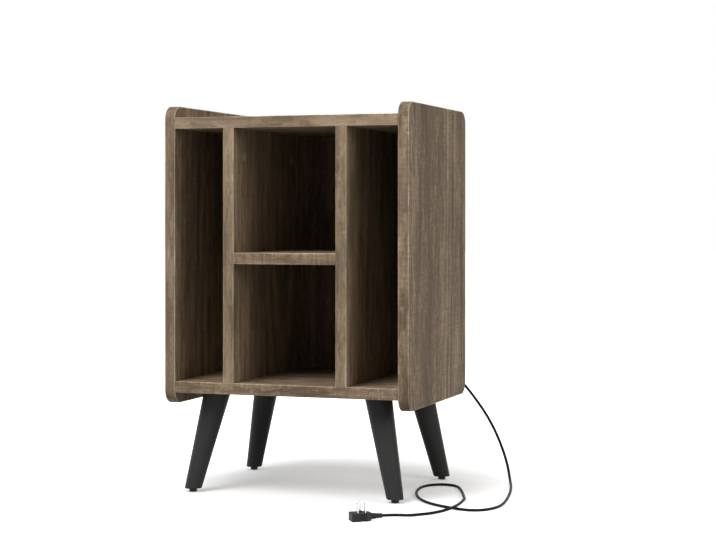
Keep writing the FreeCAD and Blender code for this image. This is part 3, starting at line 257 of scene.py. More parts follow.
class Graph:
    """The nodes of a material or of the world."""

    def __init__(self, owner):
        owner.use_nodes = True
        self.owner = owner
        self.tree = owner.node_tree

    def link(self, value, socket):
        """Join a signal to a socket, or set the socket to a plain value."""
        if isinstance(value, Signal):
            self.tree.links.new(value.socket, socket)
        elif socket.type == "RGBA":
            socket.default_value = (*tuple(value)[:3], 1)
        else:
            socket.default_value = value

    def node(self, kind, settings, inputs, output=0):
        """Add a node: its settings first, then the values or links of its sockets."""
        node = self.tree.nodes.new(kind)
        stops = settings.pop("stops", None)
        for name, value in settings.items():
            setattr(node, name, value)
        if stops:
            elements = node.color_ramp.elements
            while len(elements) < len(stops):
                elements.new(1)
            for element, (place, tone) in zip(elements, stops):
                element.position = place
                element.color = (*tone, 1)
        for name, value in inputs.items():
            self.link(value, node.inputs[name])
        return Signal(self, node.outputs[output])

    def math(self, operation, *values):
        return self.node("ShaderNodeMath", {"operation": operation}, dict(enumerate(values)))

    def position(self):
        return self.node("ShaderNodeTexCoord", {}, {}, "Object")

    def edge_mask(self, axis):
        """From 0, where a surface looks along an axis or across it, to 1 halfway between."""
        normal = self.node("ShaderNodeTexCoord", {}, {}, "Normal")
        part = self.node("ShaderNodeSeparateXYZ", {}, {"Vector": normal}, axis)
        square = part * part
        return square * (1 - square) * 4

    def placed(self, vector, scale, shift=(0, 0, 0)):
        return self.node("ShaderNodeMapping", {}, {
            "Vector": vector, "Scale": scale, "Location": shift})

    def shifted(self, vector, amount):
        """Move a vector by the same amount along all its axes."""
        return self.node("ShaderNodeVectorMath", {"operation": "ADD"}, {0: vector, 1: amount})

    def distance(self, vector):
        return self.node("ShaderNodeVectorMath", {"operation": "LENGTH"}, {0: vector}, "Value")

    def noise(self, vector, detail, roughness=NOISE_ROUGHNESS):
        return self.node("ShaderNodeTexNoise", {}, {
            "Vector": vector, "Scale": 1, "Detail": detail, "Roughness": roughness}, "Fac")

    def speckle(self, rates, detail=3):
        """Noise that follows the piece, by its rates per metre along the axes."""
        return self.noise(self.placed(self.position(), rates), detail)

    def bands(self, value):
        """Uneven bands along one value."""
        return self.node("ShaderNodeTexNoise", {"noise_dimensions": "1D"}, {
            "W": value, "Scale": 1, "Detail": 2}, "Fac")

    def step(self, value, low, high):
        """A smooth rise from 0 at low to 1 at high."""
        return self.node("ShaderNodeMapRange", {"interpolation_type": "SMOOTHSTEP"}, {
            "Value": value, "From Min": low, "From Max": high})

    def between(self, value, low, high):
        """Spread a noise over a range of values."""
        return self.node("ShaderNodeMapRange", {}, {
            "Value": value, "From Min": NOISE_RANGE[0], "From Max": NOISE_RANGE[1],
            "To Min": low, "To Max": high})

    def around(self, value, middle, spread):
        """Spread a noise over the values around a middle one."""
        return self.between(value, middle - spread, middle + spread)

    def ramp(self, value, stops):
        return self.node("ShaderNodeValToRGB", {"stops": stops}, {"Fac": value})

    def blend(self, factor, first, second, way="MIX"):
        """Mix two colours, never brighter than white."""
        return self.node("ShaderNodeMix", {
            "data_type": "RGBA", "blend_type": way, "clamp_result": True}, {
            "Factor": factor, FIRST_COLOUR: first, SECOND_COLOUR: second}, MIXED_COLOUR)

    def times(self, colour, amount, factor=1.0):
        """Multiply a colour by an amount, in full where the factor is 1."""
        return self.blend(factor, colour, (amount,) * 3, "MULTIPLY")

    def clouded(self, cloud, colour, low, high):
        """Spread a colour between two strengths of it, as a noise goes."""
        return self.blend(cloud, scaled(colour, low), scaled(colour, high))

    def bump(self, height, distance):
        return self.node("ShaderNodeBump", {}, {"Height": height, "Distance": distance})

    def seen_directly(self):
        """1 for what the camera sees, itself or in a mirror or through glass, and else 0."""
        camera, glossy, through = (self.node("ShaderNodeLightPath", {}, {}, output) for output in (
            "Is Camera Ray", "Is Glossy Ray", "Is Transmission Ray"))
        return self.math("MAXIMUM", self.math("MAXIMUM", camera, glossy), through)

    def finish(self, **sockets):
        """Feed the material's surface, by its sockets' names with underscores."""
        surface = self.tree.nodes["Principled BSDF"]
        for name, value in sockets.items():
            self.link(value, surface.inputs[name.replace("_", " ")])
        return self.owner


def scaled(colour, share):
    return tuple(part * share for part in colour)


def new_material(name):
    return Graph(bpy.data.materials.new(f"finish_{name}"))


def finish_of(slot):
    return bpy.data.materials[f"finish_{slot}"]


# Board by board: the grain's axis, the axis that its painted edge highlight turns away from, the
# place of the tree's heart beside the board, the tone, and how much saw marks and figure show
# The tone is partly each board's own and partly painted light: the back panel's low tone is
# painted shade for the dark bays, and the top's and the dividers' raised tones are painted light
# on their fronts
BOARDS = {
    "side_panel_left": ("Z", "X", (-0.310, 0.020, 0.15), 1.20, 0.25, 1.2),
    "side_panel_right": ("Z", "X", (0.285, -0.050, 0.62), 1.23, 0.70, 1.55),
    "divider_left": ("Z", "Y", (-0.190, 0.060, 0.90), 1.40, 0.20, 1.0),
    "divider_right": ("Z", "Y", (0.215, 0.020, 0.20), 1.34, 0.20, 1.0),
    "back_panel": ("Z", "X", (-0.060, 0.300, 0.75), 0.55, 0.15, 1.2),
    "top_panel": ("X", "Y", (-0.120, -0.310, 0.690), 1.44, 0.30, 1.0),
    "bottom_panel": ("X", "Y", (-0.030, -0.265, 0.165), 1.28, 0.70, 1.5),
    "shelf": ("X", "Y", (0.300, -0.290, 0.475), 1.28, 0.95, 1.5),
}

# The laminate's noises: width across the grain, length along it, and detail
SWAY = (22 * MM, 50 * MM, 3)
STREAKS = (13 * MM, 160 * MM, 4)
DASHES = (3.5 * MM, 30 * MM, 3)
FIELDS = (45 * MM, 220 * MM, 2)
PORES = (0.8 * MM, 14 * MM, 2)
SAW_MARKS = (40 * MM, 4.2 * MM, 2)
FIBRE_LENGTH, FIBRE_DETAIL = 50 * MM, 2
GRAIN_ROUGHNESS = 0.6

# How much each layer gives to the figure, from 0, dark, to 1, pale
RING_SHARE, STREAK_SHARE, DASH_SHARE, FIBRE_SHARE, FIELD_SHARE = 0.14, 0.32, 0.16, 0.14, 0.24

# The heart of the tree: how slowly it tapers along the grain, where its wild grain starts and
# is full, how far the lines sway away from it and how much more near it, and how dark it is
HEART_TAPER = 0.12
HEART_REACH = (110 * MM, 60 * MM)
SWAY_AWAY, SWAY_NEAR = 0.030, 0.070
HEART_SHADE = 0.045

# The laminate's colours: their place in the figure, their property, and their strength
TONES = ((0.36, "dark", 1), (0.45, "middle", 0.72), (0.54, "middle", 1.15), (0.64, "light", 1))

# Where pores start and are full in their noise and in the rings, and where saw marks do, how
# strongly both show, and how much brighter the painted highlight makes a board's eased edges
PORE_RANGE, PORE_RINGS, PORE_STRENGTH = (0.60, 0.70), (0.62, 0.42), 0.45
SAW_RANGE, SAW_STRENGTH = (0.42, 0.66), 0.5
PAINTED_EDGE_HIGHLIGHT = 2.2

# The laminate's sheen, how much fibres raise its surface and pores sink it, and how far at most
LAMINATE_ROUGHNESS, LAMINATE_GLOSS = (0.50, 0.62), 0.05
FIBRE_RISE, PORE_SINK, GRAIN_DEPTH = 0.6, 0.4, 0.12 * MM


def laminate(name, grain, highlight_axis, heart, tone, saw_marks, contrast):
    """Grey-brown oak laminate: growth rings cut flat, fibres, pores, saw marks across them, and a
    painted highlight on the eased edges.
    """
    look = bpy.context.scene.cabinet_laminate
    graph = new_material(name)
    place = graph.placed(graph.position(), (1, 1, 1), tuple(-part for part in heart))

    def pattern(width, length, detail, source=place):
        """Noise of a width across the grain and a length along it."""
        rates = tuple(1 / (length if axis == grain else width) for axis in "XYZ")
        return graph.noise(graph.placed(source, rates), detail, GRAIN_ROUGHNESS)

    radial = graph.placed(place, tuple(HEART_TAPER if axis == grain else 1 for axis in "XYZ"))
    near_heart = graph.step(graph.distance(radial), *HEART_REACH)
    sway = (pattern(*SWAY) - 0.5) * (near_heart * SWAY_NEAR + SWAY_AWAY)
    swayed = graph.shifted(place, sway)
    rings = graph.bands(graph.distance(graph.shifted(radial, sway)) * (1 / look.ring))
    fibre = pattern(look.fibre, FIBRE_LENGTH, FIBRE_DETAIL)
    figure = (rings * RING_SHARE + pattern(*STREAKS, swayed) * STREAK_SHARE
              + pattern(*DASHES, swayed) * DASH_SHARE + fibre * FIBRE_SHARE
              + pattern(*FIELDS) * FIELD_SHARE - near_heart * HEART_SHADE)
    pores = graph.step(pattern(*PORES), *PORE_RANGE) * graph.step(rings, *PORE_RINGS)
    sawn = graph.step(pattern(*SAW_MARKS), *SAW_RANGE)
    colour = graph.ramp((figure - 0.5) * contrast + 0.5, [
        (spot, scaled(getattr(look, part), strength)) for spot, part, strength in TONES])
    colour = graph.blend(pores * PORE_STRENGTH, colour, look.dark)
    colour = graph.blend(sawn * (saw_marks * SAW_STRENGTH), colour, look.dark)
    # Painted highlight: the eased edges, where the normal turns between the axes, are brightened
    # as if they caught the light
    colour = graph.times(colour, PAINTED_EDGE_HIGHLIGHT, graph.edge_mask(highlight_axis))
    return graph.finish(
        # Each board's tone from BOARDS: partly its own, partly painted light and painted shade
        Base_Color=graph.times(colour, tone),
        Roughness=graph.between(fibre, *LAMINATE_ROUGHNESS), Specular_IOR_Level=LAMINATE_GLOSS,
        Normal=graph.bump(fibre * FIBRE_RISE - pores * PORE_SINK, GRAIN_DEPTH))


# The other finishes' clouds and fine marks: their rates per metre along the piece's axes
PLASTIC_CLOUD, SPARK_MARKS = (25, 25, 25), (1 / (0.6 * MM),) * 3
METAL_CLOUD, DRAWING_MARKS = (60, 60, 60), (2500, 2500, 250)
LACQUER_CLOUD, WOOD_MARKS = (18, 18, 6), (900, 900, 25)
DOWEL_MARKS, LENS_CLOUD = (400, 900, 900), (900, 900, 900)

# The strengths that a cloud spreads its colour between
PLASTIC_TONES, METAL_TONES = (0.85, 1.15), (0.85, 1)
LACQUER_TONES, LENS_TONES = (0.75, 1.25), (0.8, 1)

# How far each roughness varies, how deep the marks are, and a dowel's dark and pale colour
PLASTIC_SPREAD, METAL_SPREAD, LACQUER_SPREAD = 0.04, 0.06, 0.04
SPARK_DEPTH, DRAWING_DEPTH, WOOD_DEPTH = 0.02 * MM, 0.01 * MM, 0.03 * MM
DOWEL_COLOURS = ((0.42, 0.26, 0.13), (0.62, 0.44, 0.26))


def plastic(name, colour, roughness, gloss=0.4):
    """Moulded plastic with a fine spark-eroded grain."""
    graph = new_material(name)
    cloud = graph.speckle(PLASTIC_CLOUD)
    return graph.finish(
        Base_Color=graph.clouded(cloud, colour, *PLASTIC_TONES),
        Roughness=graph.around(cloud, roughness, PLASTIC_SPREAD), Specular_IOR_Level=gloss,
        Normal=graph.bump(graph.speckle(SPARK_MARKS, detail=2), SPARK_DEPTH))


def metal(name, colour, roughness):
    """Plain metal with fine drawing marks."""
    graph = new_material(name)
    marks = graph.speckle(DRAWING_MARKS)
    return graph.finish(
        Base_Color=graph.clouded(graph.speckle(METAL_CLOUD), colour, *METAL_TONES),
        Metallic=1.0, Roughness=graph.around(marks, roughness, METAL_SPREAD),
        Normal=graph.bump(marks, DRAWING_DEPTH))


def lacquer(name, colour, roughness, gloss):
    """Satin lacquer over turned wood: the grain just shows."""
    graph = new_material(name)
    cloud = graph.speckle(LACQUER_CLOUD)
    return graph.finish(
        Base_Color=graph.clouded(cloud, colour, *LACQUER_TONES),
        Roughness=graph.around(cloud, roughness, LACQUER_SPREAD), Specular_IOR_Level=gloss,
        Normal=graph.bump(graph.speckle(WOOD_MARKS), WOOD_DEPTH))


def beech(name, roughness):
    """Bare dowel wood."""
    graph = new_material(name)
    tone = graph.ramp(graph.speckle(DOWEL_MARKS), list(zip(NOISE_RANGE, DOWEL_COLOURS)))
    return graph.finish(Base_Color=tone, Roughness=roughness)


def lens(name, colour, roughness, glow):
    """A small clear lens that glows."""
    graph = new_material(name)
    tone = graph.clouded(graph.speckle(LENS_CLOUD, detail=1), colour, *LENS_TONES)
    return graph.finish(
        Base_Color=tone, Roughness=roughness, Emission_Color=tone, Emission_Strength=glow)


def make_finishes(scene):
    """The finishes of all slots but the laminate: each one's slot, colour and roughness."""
    station, cord = scene.cabinet_station, scene.cabinet_cord
    beech("beech", 0.6)
    lacquer("black_wood", scene.cabinet_legs.black, 0.40, gloss=0.08)
    lens("light_green", station.light, 0.15, glow=0.6)
    metal("zinc_steel", (0.58, 0.59, 0.60), 0.36)
    metal("insert_brass", (0.72, 0.52, 0.24), 0.32)
    metal("port_steel", (0.55, 0.56, 0.58), 0.30)
    metal("prong_nickel", (0.72, 0.73, 0.75), 0.30)
    plastic("black_steel", (0.022, 0.022, 0.024), 0.45)
    plastic("cap_plastic", scene.cabinet_caps.colour, 0.5)
    plastic("foot_plastic", (0.018, 0.018, 0.018), 0.55)
    plastic("station_plastic", station.plate, 0.48)
    plastic("outlet_plastic", station.outlet, 0.42)
    plastic("tongue_orange", (0.75, 0.16, 0.03), 0.4)
    plastic("tongue_white", (0.75, 0.75, 0.74), 0.4)
    plastic("circuit_board", (0.008, 0.045, 0.020), 0.35)
    plastic("cord_jacket", cord.black, 0.5, gloss=0.1)
    plastic("cord_rubber", cord.grey, 0.5, gloss=0.2)


def paint(node, material):
    """Give a piece from the frame its finish without touching its mesh."""
    for slot in node.material_slots:
        slot.material = material


# Shapes

# Points nearer than WELD become one, and so do faces that meet at less than FLAT. Edges sharper
# than SHARP are rounded and stay edges in the shading, which leans to the larger faces
WELD = 0.002 * MM
FLAT = math.radians(0.3)
SHARP = math.radians(32)
FLAT_FACE_WEIGHT = 90

# The cuts across a groove: their places as shares of its width, and whether they are pressed in
GROOVE_CUTS = ((-0.5, False), (-0.2, True), (0.2, True), (0.5, False))


def only(kind, parts):
    return [part for part in parts if isinstance(part, kind)]


def whole_copy(node, place=Matrix()):
    """A node's shape, seen from a place, with its triangles joined and its flat faces whole."""
    shape = bmesh.new()
    shape.from_mesh(NODES[node].data)
    bmesh.ops.remove_doubles(shape, verts=shape.verts, dist=WELD)
    bmesh.ops.dissolve_limit(shape, angle_limit=FLAT, verts=shape.verts, edges=shape.edges)
    bmesh.ops.transform(shape, matrix=place.inverted(), verts=shape.verts)
    return shape


def box_of(vertices):
    """The lowest and highest corner of some vertices."""
    columns = list(zip(*(vertex.co for vertex in vertices)))
    return Vector([min(column) for column in columns]), Vector([max(column) for column in columns])


def boxes(node, place=Matrix()):
    """The box of each separate solid of a node, seen from a place."""
    shape = whole_copy(node, place)
    seen, found = set(), []
    for start in shape.verts:
        if start in seen:
            continue
        seen.add(start)
        solid, front = [start], [start]
        while front:
            for edge in front.pop().link_edges:
                for vertex in edge.verts:
                    if vertex not in seen:
                        seen.add(vertex)
                        solid.append(vertex)
                        front.append(vertex)
        found.append(box_of(solid))
    shape.free()
    return found


def round_edges(shape, width):
    """Round a shape's sharp outer edges."""
    sharp = [edge for edge in shape.edges
             if edge.is_manifold and edge.is_convex and edge.calc_face_angle() > SHARP]
    bmesh.ops.bevel(shape, geom=sharp, offset=width, segments=2, profile=0.5, affect="EDGES",
                    material=-1, clamp_overlap=True)
    return shape


def groove(shape, places, width, squeeze):
    """Press a groove round a shape at some places along its X axis."""
    for place in places:
        for share, is_pressed in GROOVE_CUTS:
            cut = bmesh.ops.bisect_plane(
                shape, geom=[*shape.verts, *shape.edges, *shape.faces], dist=WELD,
                plane_co=(place + share * width, 0, 0), plane_no=(1, 0, 0))
            ring = only(BMVert, cut["geom_cut"])
            if is_pressed:
                low, high = box_of(ring)
                centre = Matrix.Translation(-(low + high) / 2)
                bmesh.ops.scale(shape, vec=squeeze, space=centre, verts=ring)
    return shape


def extruded(shape, parts, vector, scale=(1, 1, 1)):
    """Extrude faces or edges along a vector, and scale what moved about the Z axis."""
    if isinstance(parts[0], BMFace):
        made = bmesh.ops.extrude_face_region(shape, geom=parts)["geom"]
        left = [face for face in parts if face.is_valid]
        bmesh.ops.delete(shape, geom=left, context="FACES_ONLY")
    else:
        made = bmesh.ops.extrude_edge_only(shape, edges=parts)["geom"]
    bmesh.ops.scale(shape, vec=scale, verts=only(BMVert, made))
    bmesh.ops.translate(shape, vec=vector, verts=only(BMVert, made))
    return only(BMEdge, made)


def add_object(name, data):
    """Put a mesh, curve, light or camera into the scene."""
    thing = bpy.data.objects.new(name, data)
    bpy.context.scene.collection.objects.link(thing)
    return thing


def slot_of(node):
    return next(part["material_slot"] for part in frame["record"]["subparts"]
                if part["node"] == node)


def add_piece(name, shape, node):
    """Finish a shape as a piece that stands for a node and rides on its body."""
    slot = slot_of(node)
    mesh = bpy.data.meshes.new(name)
    shape.to_mesh(mesh)
    shape.free()
    mesh.shade_smooth()
    mesh.set_sharp_from_angle(angle=SHARP)
    mesh.materials.append(finish_of(slot))
    piece = add_object(name, mesh)
    flat_faces = piece.modifiers.new("flat_faces", "WEIGHTED_NORMAL")
    flat_faces.weight = FLAT_FACE_WEIGHT
    flat_faces.keep_sharp = True
    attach(piece, body_of(NODES[node])[0])
    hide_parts(node)
    return piece


def add_rounded(name, node, width):
    """Put a copy of a node with rounded edges in its place."""
    return add_piece(name, round_edges(whole_copy(node), width), node)


# Operators


class CABINET_OT_stage(bpy.types.Operator):
    """Lay the pale floor and set the lights and the photograph's camera"""

    bl_idname = "cabinet.stage"
    bl_label = "Stage"

    def execute(self, context):
        scene = context.scene
        look = scene.cabinet_stage
        scene.view_settings.view_transform = "Standard"
        self.lay_floor(look.floor_span)
        scene.world = self.make_world(look.ambient)
        for name, (power, span, place, colour) in LIGHTS.items():
            self.add_light(name, getattr(look, power), span, Vector(place), colour)
        scene.camera = self.add_camera()
        return {"FINISHED"}

    def lay_floor(self, span):
        """A pale floor that fades to white away from the cabinet and keeps its shadow."""
        shape = bmesh.new()
        bmesh.ops.create_grid(shape, x_segments=1, y_segments=1, size=span / 2)
        mesh = bpy.data.meshes.new("floor")
        shape.to_mesh(mesh)
        shape.free()
        graph = new_material("floor")
        seen = graph.seen_directly()
        far = graph.step(graph.distance(graph.position()), *FLOOR_FADE)
        cloud = graph.speckle(FLOOR_CLOUD, detail=2)
        mesh.materials.append(graph.finish(
            Base_Color=graph.blend(seen, FLOOR_LIGHTING, FLOOR_SEEN),
            Roughness=graph.between(cloud, *FLOOR_ROUGHNESS), Specular_IOR_Level=FLOOR_GLOSS,
            Emission_Color=seen * (far * (1 - FLOOR_GLOW) + FLOOR_GLOW), Emission_Strength=1.0))
        add_object("floor", mesh)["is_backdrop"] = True

    def make_world(self, ambient):
        """An even light from all round, which the camera sees as white."""
        graph = Graph(bpy.data.worlds.new("studio"))
        sky = graph.blend(graph.seen_directly(), (ambient,) * 3, WHITE)
        graph.link(sky, graph.tree.nodes["Background"].inputs["Color"])
        return graph.owner

    def add_light(self, name, power, span, place, colour):
        """A round soft light that faces the cabinet's middle."""
        data = bpy.data.lights.new(name, "AREA")
        data.shape = "DISK"
        data.size = span
        data.energy = power
        data.color = colour
        lamp = add_object(name, data)
        low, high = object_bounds()
        lamp.location = place
        lamp.rotation_euler = ((low + high) / 2 - place).to_track_quat("-Z", "Y").to_euler()

    def add_camera(self):
        """The photograph's camera: level, with its view shifted to the photograph's horizon."""
        data = bpy.data.cameras.new("camera")
        data.sensor_width = SENSOR_WIDTH
        data.lens = FOCAL_PIXELS / PHOTO_WIDTH * SENSOR_WIDTH
        data.shift_y = -HORIZON_ABOVE_MIDDLE / PHOTO_WIDTH
        camera = add_object("camera", data)
        camera.location = EYE
        camera.rotation_euler = (QUARTER_TURN, 0, math.radians(CAMERA_TURN))
        return camera


class CABINET_OT_finishes(bpy.types.Operator):
    """Give every piece from the frame its finish"""

    bl_idname = "cabinet.finishes"
    bl_label = "Finishes"

    def execute(self, context):
        make_finishes(context.scene)
        for name, node in NODES.items():
            if name in BOARDS:
                paint(node, laminate(name, *BOARDS[name]))
            else:
                paint(node, finish_of(slot_of(name)))
        return {"FINISHED"}


# The let-in plates' rounds, as a share of the legs' round
PLATE_ROUND = 0.5


class CABINET_OT_legs(bpy.types.Operator):
    """Finish the turned legs and the plates that carry them"""

    bl_idname = "cabinet.legs"
    bl_label = "Legs"

    def execute(self, context):
        width = context.scene.cabinet_legs.edge_round
        for corner in CORNERS:
            add_rounded(f"turned_leg_{corner}", f"leg_{corner}", width)
            add_rounded(f"let_in_plate_{corner}", f"leg_plate_{corner}", width * PLATE_ROUND)
        return {"FINISHED"}


# The foot screws: the sides of their core, which are also the steps of one turn, and where the
# thread's ridge is rooted, as a share of the core's radius
THREAD_STEPS = 20
RIDGE_ROOT = 0.96


class CABINET_OT_feet(bpy.types.Operator):
    """Finish the foot pads and cut the thread on the levelling feet's screws"""

    bl_idname = "cabinet.feet"
    bl_label = "Levelling feet"

    def execute(self, context):
        look = context.scene.cabinet_feet
        for corner in CORNERS:
            add_rounded(f"pad_{corner}", f"foot_pad_{corner}", look.edge_round)
            node = f"foot_screw_{corner}"
            rod = self.threaded_rod(*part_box(node), look.pitch, look.thread_depth)
            add_piece(f"threaded_{node}", rod, node)
        return {"FINISHED"}

    def threaded_rod(self, low, high, pitch, depth):
        """An upright rod: a plain core, and a ridge wound round it from end to end."""
        radius, height = (high.x - low.x) / 2, high.z - low.z
        core = radius - depth
        shape = bmesh.new()
        bmesh.ops.create_cone(shape, cap_ends=True, segments=THREAD_STEPS, radius1=core,
                              radius2=core, depth=height)
        root, start = core * RIDGE_ROOT, -height / 2
        ridge = [shape.verts.new(corner) for corner in (
            (root, 0, start), (radius, 0, start + pitch / 2), (root, 0, start + pitch))]
        face = bmesh.ops.contextual_create(shape, geom=ridge)["faces"]
        turns = int(height / pitch) - 1
        bmesh.ops.spin(shape, geom=face, cent=(0, 0, 0), axis=UP, angle=math.tau * turns,
                       dvec=(0, 0, pitch / THREAD_STEPS), steps=THREAD_STEPS * turns,
                       use_merge=False)
        bmesh.ops.recalc_face_normals(shape, faces=shape.faces)
        bmesh.ops.translate(shape, vec=(low + high) / 2, verts=shape.verts)
        return shape


# Screws and cams by node: the way their heads look, what they are, and their driver's recess
FASTENERS = {
    "back_panel_screws": ((0, 1, 0), "flat head", "cross"),
    "faceplate_screws": ((0, -1, 0), "flat head", "cross"),
    "leg_plate_screws": ((0, 0, -1), "flat head", "cross"),
    "divider_screws": ((0, 0, -1), "straight head", "hexagon"),
    "panel_cam_locks": ((0, 0, -1), "drum", "cross"),
}

# A fastener's parts as shares of its head's radius: the eased rim, the straight head's height,
# the shanks, the recesses' size and depth, and how far out the cross loses its corners
HEAD_EASE = 0.06
HEAD_HEIGHT = 0.6
FLAT_SHANK, STRAIGHT_SHANK = 0.5, 0.7
CROSS_SIZE, HEXAGON_SIZE, RECESS_DEPTH = 0.55, 0.48, 0.5
CROSS_CORNER = 0.2

# The recesses' floors as shares of their mouths, a fastener's sides, and how much further each
# next one in a row is turned
CROSS_FLOOR, HEXAGON_FLOOR = 0.55, 0.95
FASTENER_SIDES = 24
FASTENER_TWIST = math.radians(37)


def fastener_outline(kind, radius, length):
    """Radius and depth of each rim, from the head's face down."""
    ease = radius * HEAD_EASE
    head = [(radius - ease, 0), (radius, ease)]
    if kind == "flat head":
        shank = radius * FLAT_SHANK
        return head + [(shank, radius - shank + ease), (shank, length)]
    if kind == "straight head":
        shank, height = radius * STRAIGHT_SHANK, radius * HEAD_HEIGHT
        return head + [(radius, height), (shank, height), (shank, length)]
    return head + [(radius, length)]


def driver_recess(shape, kind, radius):
    """Sink a cross or a hexagon below Z = 0. Returns the edges of its mouth."""
    if kind == "cross":
        bmesh.ops.create_grid(shape, x_segments=3, y_segments=3, size=radius * CROSS_SIZE)
        spots = {face: face.calc_center_median() for face in shape.faces}
        corners = [face for face, spot in spots.items()
                   if abs(spot.x * spot.y) > (radius * CROSS_CORNER) ** 2]
        bmesh.ops.delete(shape, geom=corners, context="FACES")
        floor = CROSS_FLOOR
    else:
        bmesh.ops.create_circle(shape, cap_ends=True, segments=6, radius=radius * HEXAGON_SIZE)
        floor = HEXAGON_FLOOR
    mouth = [edge for edge in shape.edges if edge.is_boundary]
    extruded(shape, shape.faces[:], (0, 0, -radius * RECESS_DEPTH), (floor, floor, 1))
    return mouth


def fastener(kind, recess, radius, length):
    """A turned fastener along Z, whose head's face lies on Z = 0 and looks up."""
    shape = bmesh.new()
    mouth = driver_recess(shape, recess, radius)
    outline = fastener_outline(kind, radius, length)
    known = set(shape.edges)
    bmesh.ops.create_circle(
        shape, cap_ends=False, segments=FASTENER_SIDES, radius=outline[0][0])
    rim = [edge for edge in shape.edges if edge not in known]
    bmesh.ops.bridge_loops(shape, edges=mouth + rim)
    for (before, high), (after, low) in zip(outline, outline[1:]):
        scale = (after / before, after / before, 1)
        made = extruded(shape, rim, (0, 0, high - low), scale)
        rim = [edge for edge in made if edge.is_boundary]
    bmesh.ops.contextual_create(shape, geom=rim)
    bmesh.ops.recalc_face_normals(shape, faces=shape.faces)
    return shape


class CABINET_OT_fasteners(bpy.types.Operator):
    """Set the screws and the cams with their drivers' recesses"""

    bl_idname = "cabinet.fasteners"
    bl_label = "Screws and cams"

    def execute(self, context):
        for node, (way, kind, recess) in FASTENERS.items():
            add_piece(f"driven_{node}", self.set_in(node, Vector(way), kind, recess), node)
        return {"FINISHED"}

    def set_in(self, node, way, kind, recess):
        """One fastener in the place of each solid of a node, each turned a little further."""
        places = boxes(node)
        low, high = places[0]
        length = abs((high - low).dot(way))
        across = [extent for extent, part in zip(high - low, way) if not part]
        master = bpy.data.meshes.new(node)
        made = fastener(kind, recess, max(across) / 2, length)
        made.to_mesh(master)
        made.free()
        turn = UP.rotation_difference(way).to_matrix().to_4x4()
        whole = bmesh.new()
        for number, (low, high) in enumerate(places):
            face_middle = Matrix.Translation((low + high) / 2 + way * (length / 2))
            twist = Matrix.Rotation(FASTENER_TWIST * number, 4, "Z")
            before = len(whole.verts)
            whole.from_mesh(master)
            whole.verts.ensure_lookup_table()
            bmesh.ops.transform(
                whole, matrix=face_middle @ turn @ twist, verts=whole.verts[before:])
        bpy.data.meshes.remove(master)
        return whole


class CABINET_OT_caps(bpy.types.Operator):
    """Press the cover caps over the dividers' cams"""

    bl_idname = "cabinet.caps"
    bl_label = "Cover caps"

    def execute(self, context):
        add_rounded("pressed_caps", "cam_cover_caps", context.scene.cabinet_caps.edge_round)
        return {"FINISHED"}


# The station's rounds that differ from its edge round, as shares of it
HOUSING_ROUND, LENS_ROUND, PORT_ROUND, TONGUE_ROUND = 2.5, 1.2, 1 / 3, 0.5


class CABINET_OT_station(bpy.types.Operator):
    """Finish the charging station's mouldings, ports and light"""

    bl_idname = "cabinet.station"
    bl_label = "Charging station"

    def execute(self, context):
        width = context.scene.cabinet_station.edge_round
        add_rounded("faceplate", "station_faceplate", width)
        add_rounded("housing", "station_housing", width * HOUSING_ROUND)
        add_rounded("port_cover", "usb_cover", width)
        add_rounded("light_lens", "indicator_light", width * LENS_ROUND)
        for level in ("upper", "lower"):
            add_rounded(f"outlet_block_{level}", f"outlet_{level}", width)
            add_rounded(f"port_shell_{level}", f"usb_port_{level}", width * PORT_ROUND)
            add_rounded(f"port_tongue_{level}", f"usb_tongue_{level}", width * TONGUE_ROUND)
        return {"FINISHED"}


# The cord's smoothness: the steps between its points, the steps round a quarter of its tube,
# and the order of its curve
CORD_STEPS, CORD_QUARTER_STEPS, CORD_ORDER = 10, 5, 3

# Where the grooves lie along the plug and down the cord's relief, as shares of the length, and
# what they leave of the shape's thickness along its axes
PLUG_GROOVES, PLUG_SQUEEZE = (0.40, 0.50, 0.60, 0.70), (1, 0.93, 1)
RELIEF_GROOVES, RELIEF_SQUEEZE = (0.42, 0.54, 0.66, 0.78, 0.90), (1, 0.84, 0.84)

# The rounds along the edges of the blades and the two reliefs
BLADE_ROUND = 0.15 * MM
PLUG_RELIEF_ROUND, CORD_RELIEF_ROUND = 0.25 * MM, 0.2 * MM

# A blade's cut corners as a share of its width, its hole's sides, and how many of the hole's
# diameters its middle lies below the tip
BLADE_CORNER = 0.2
HOLE_SIDES, HOLE_BELOW_TIP = 20, 1.5


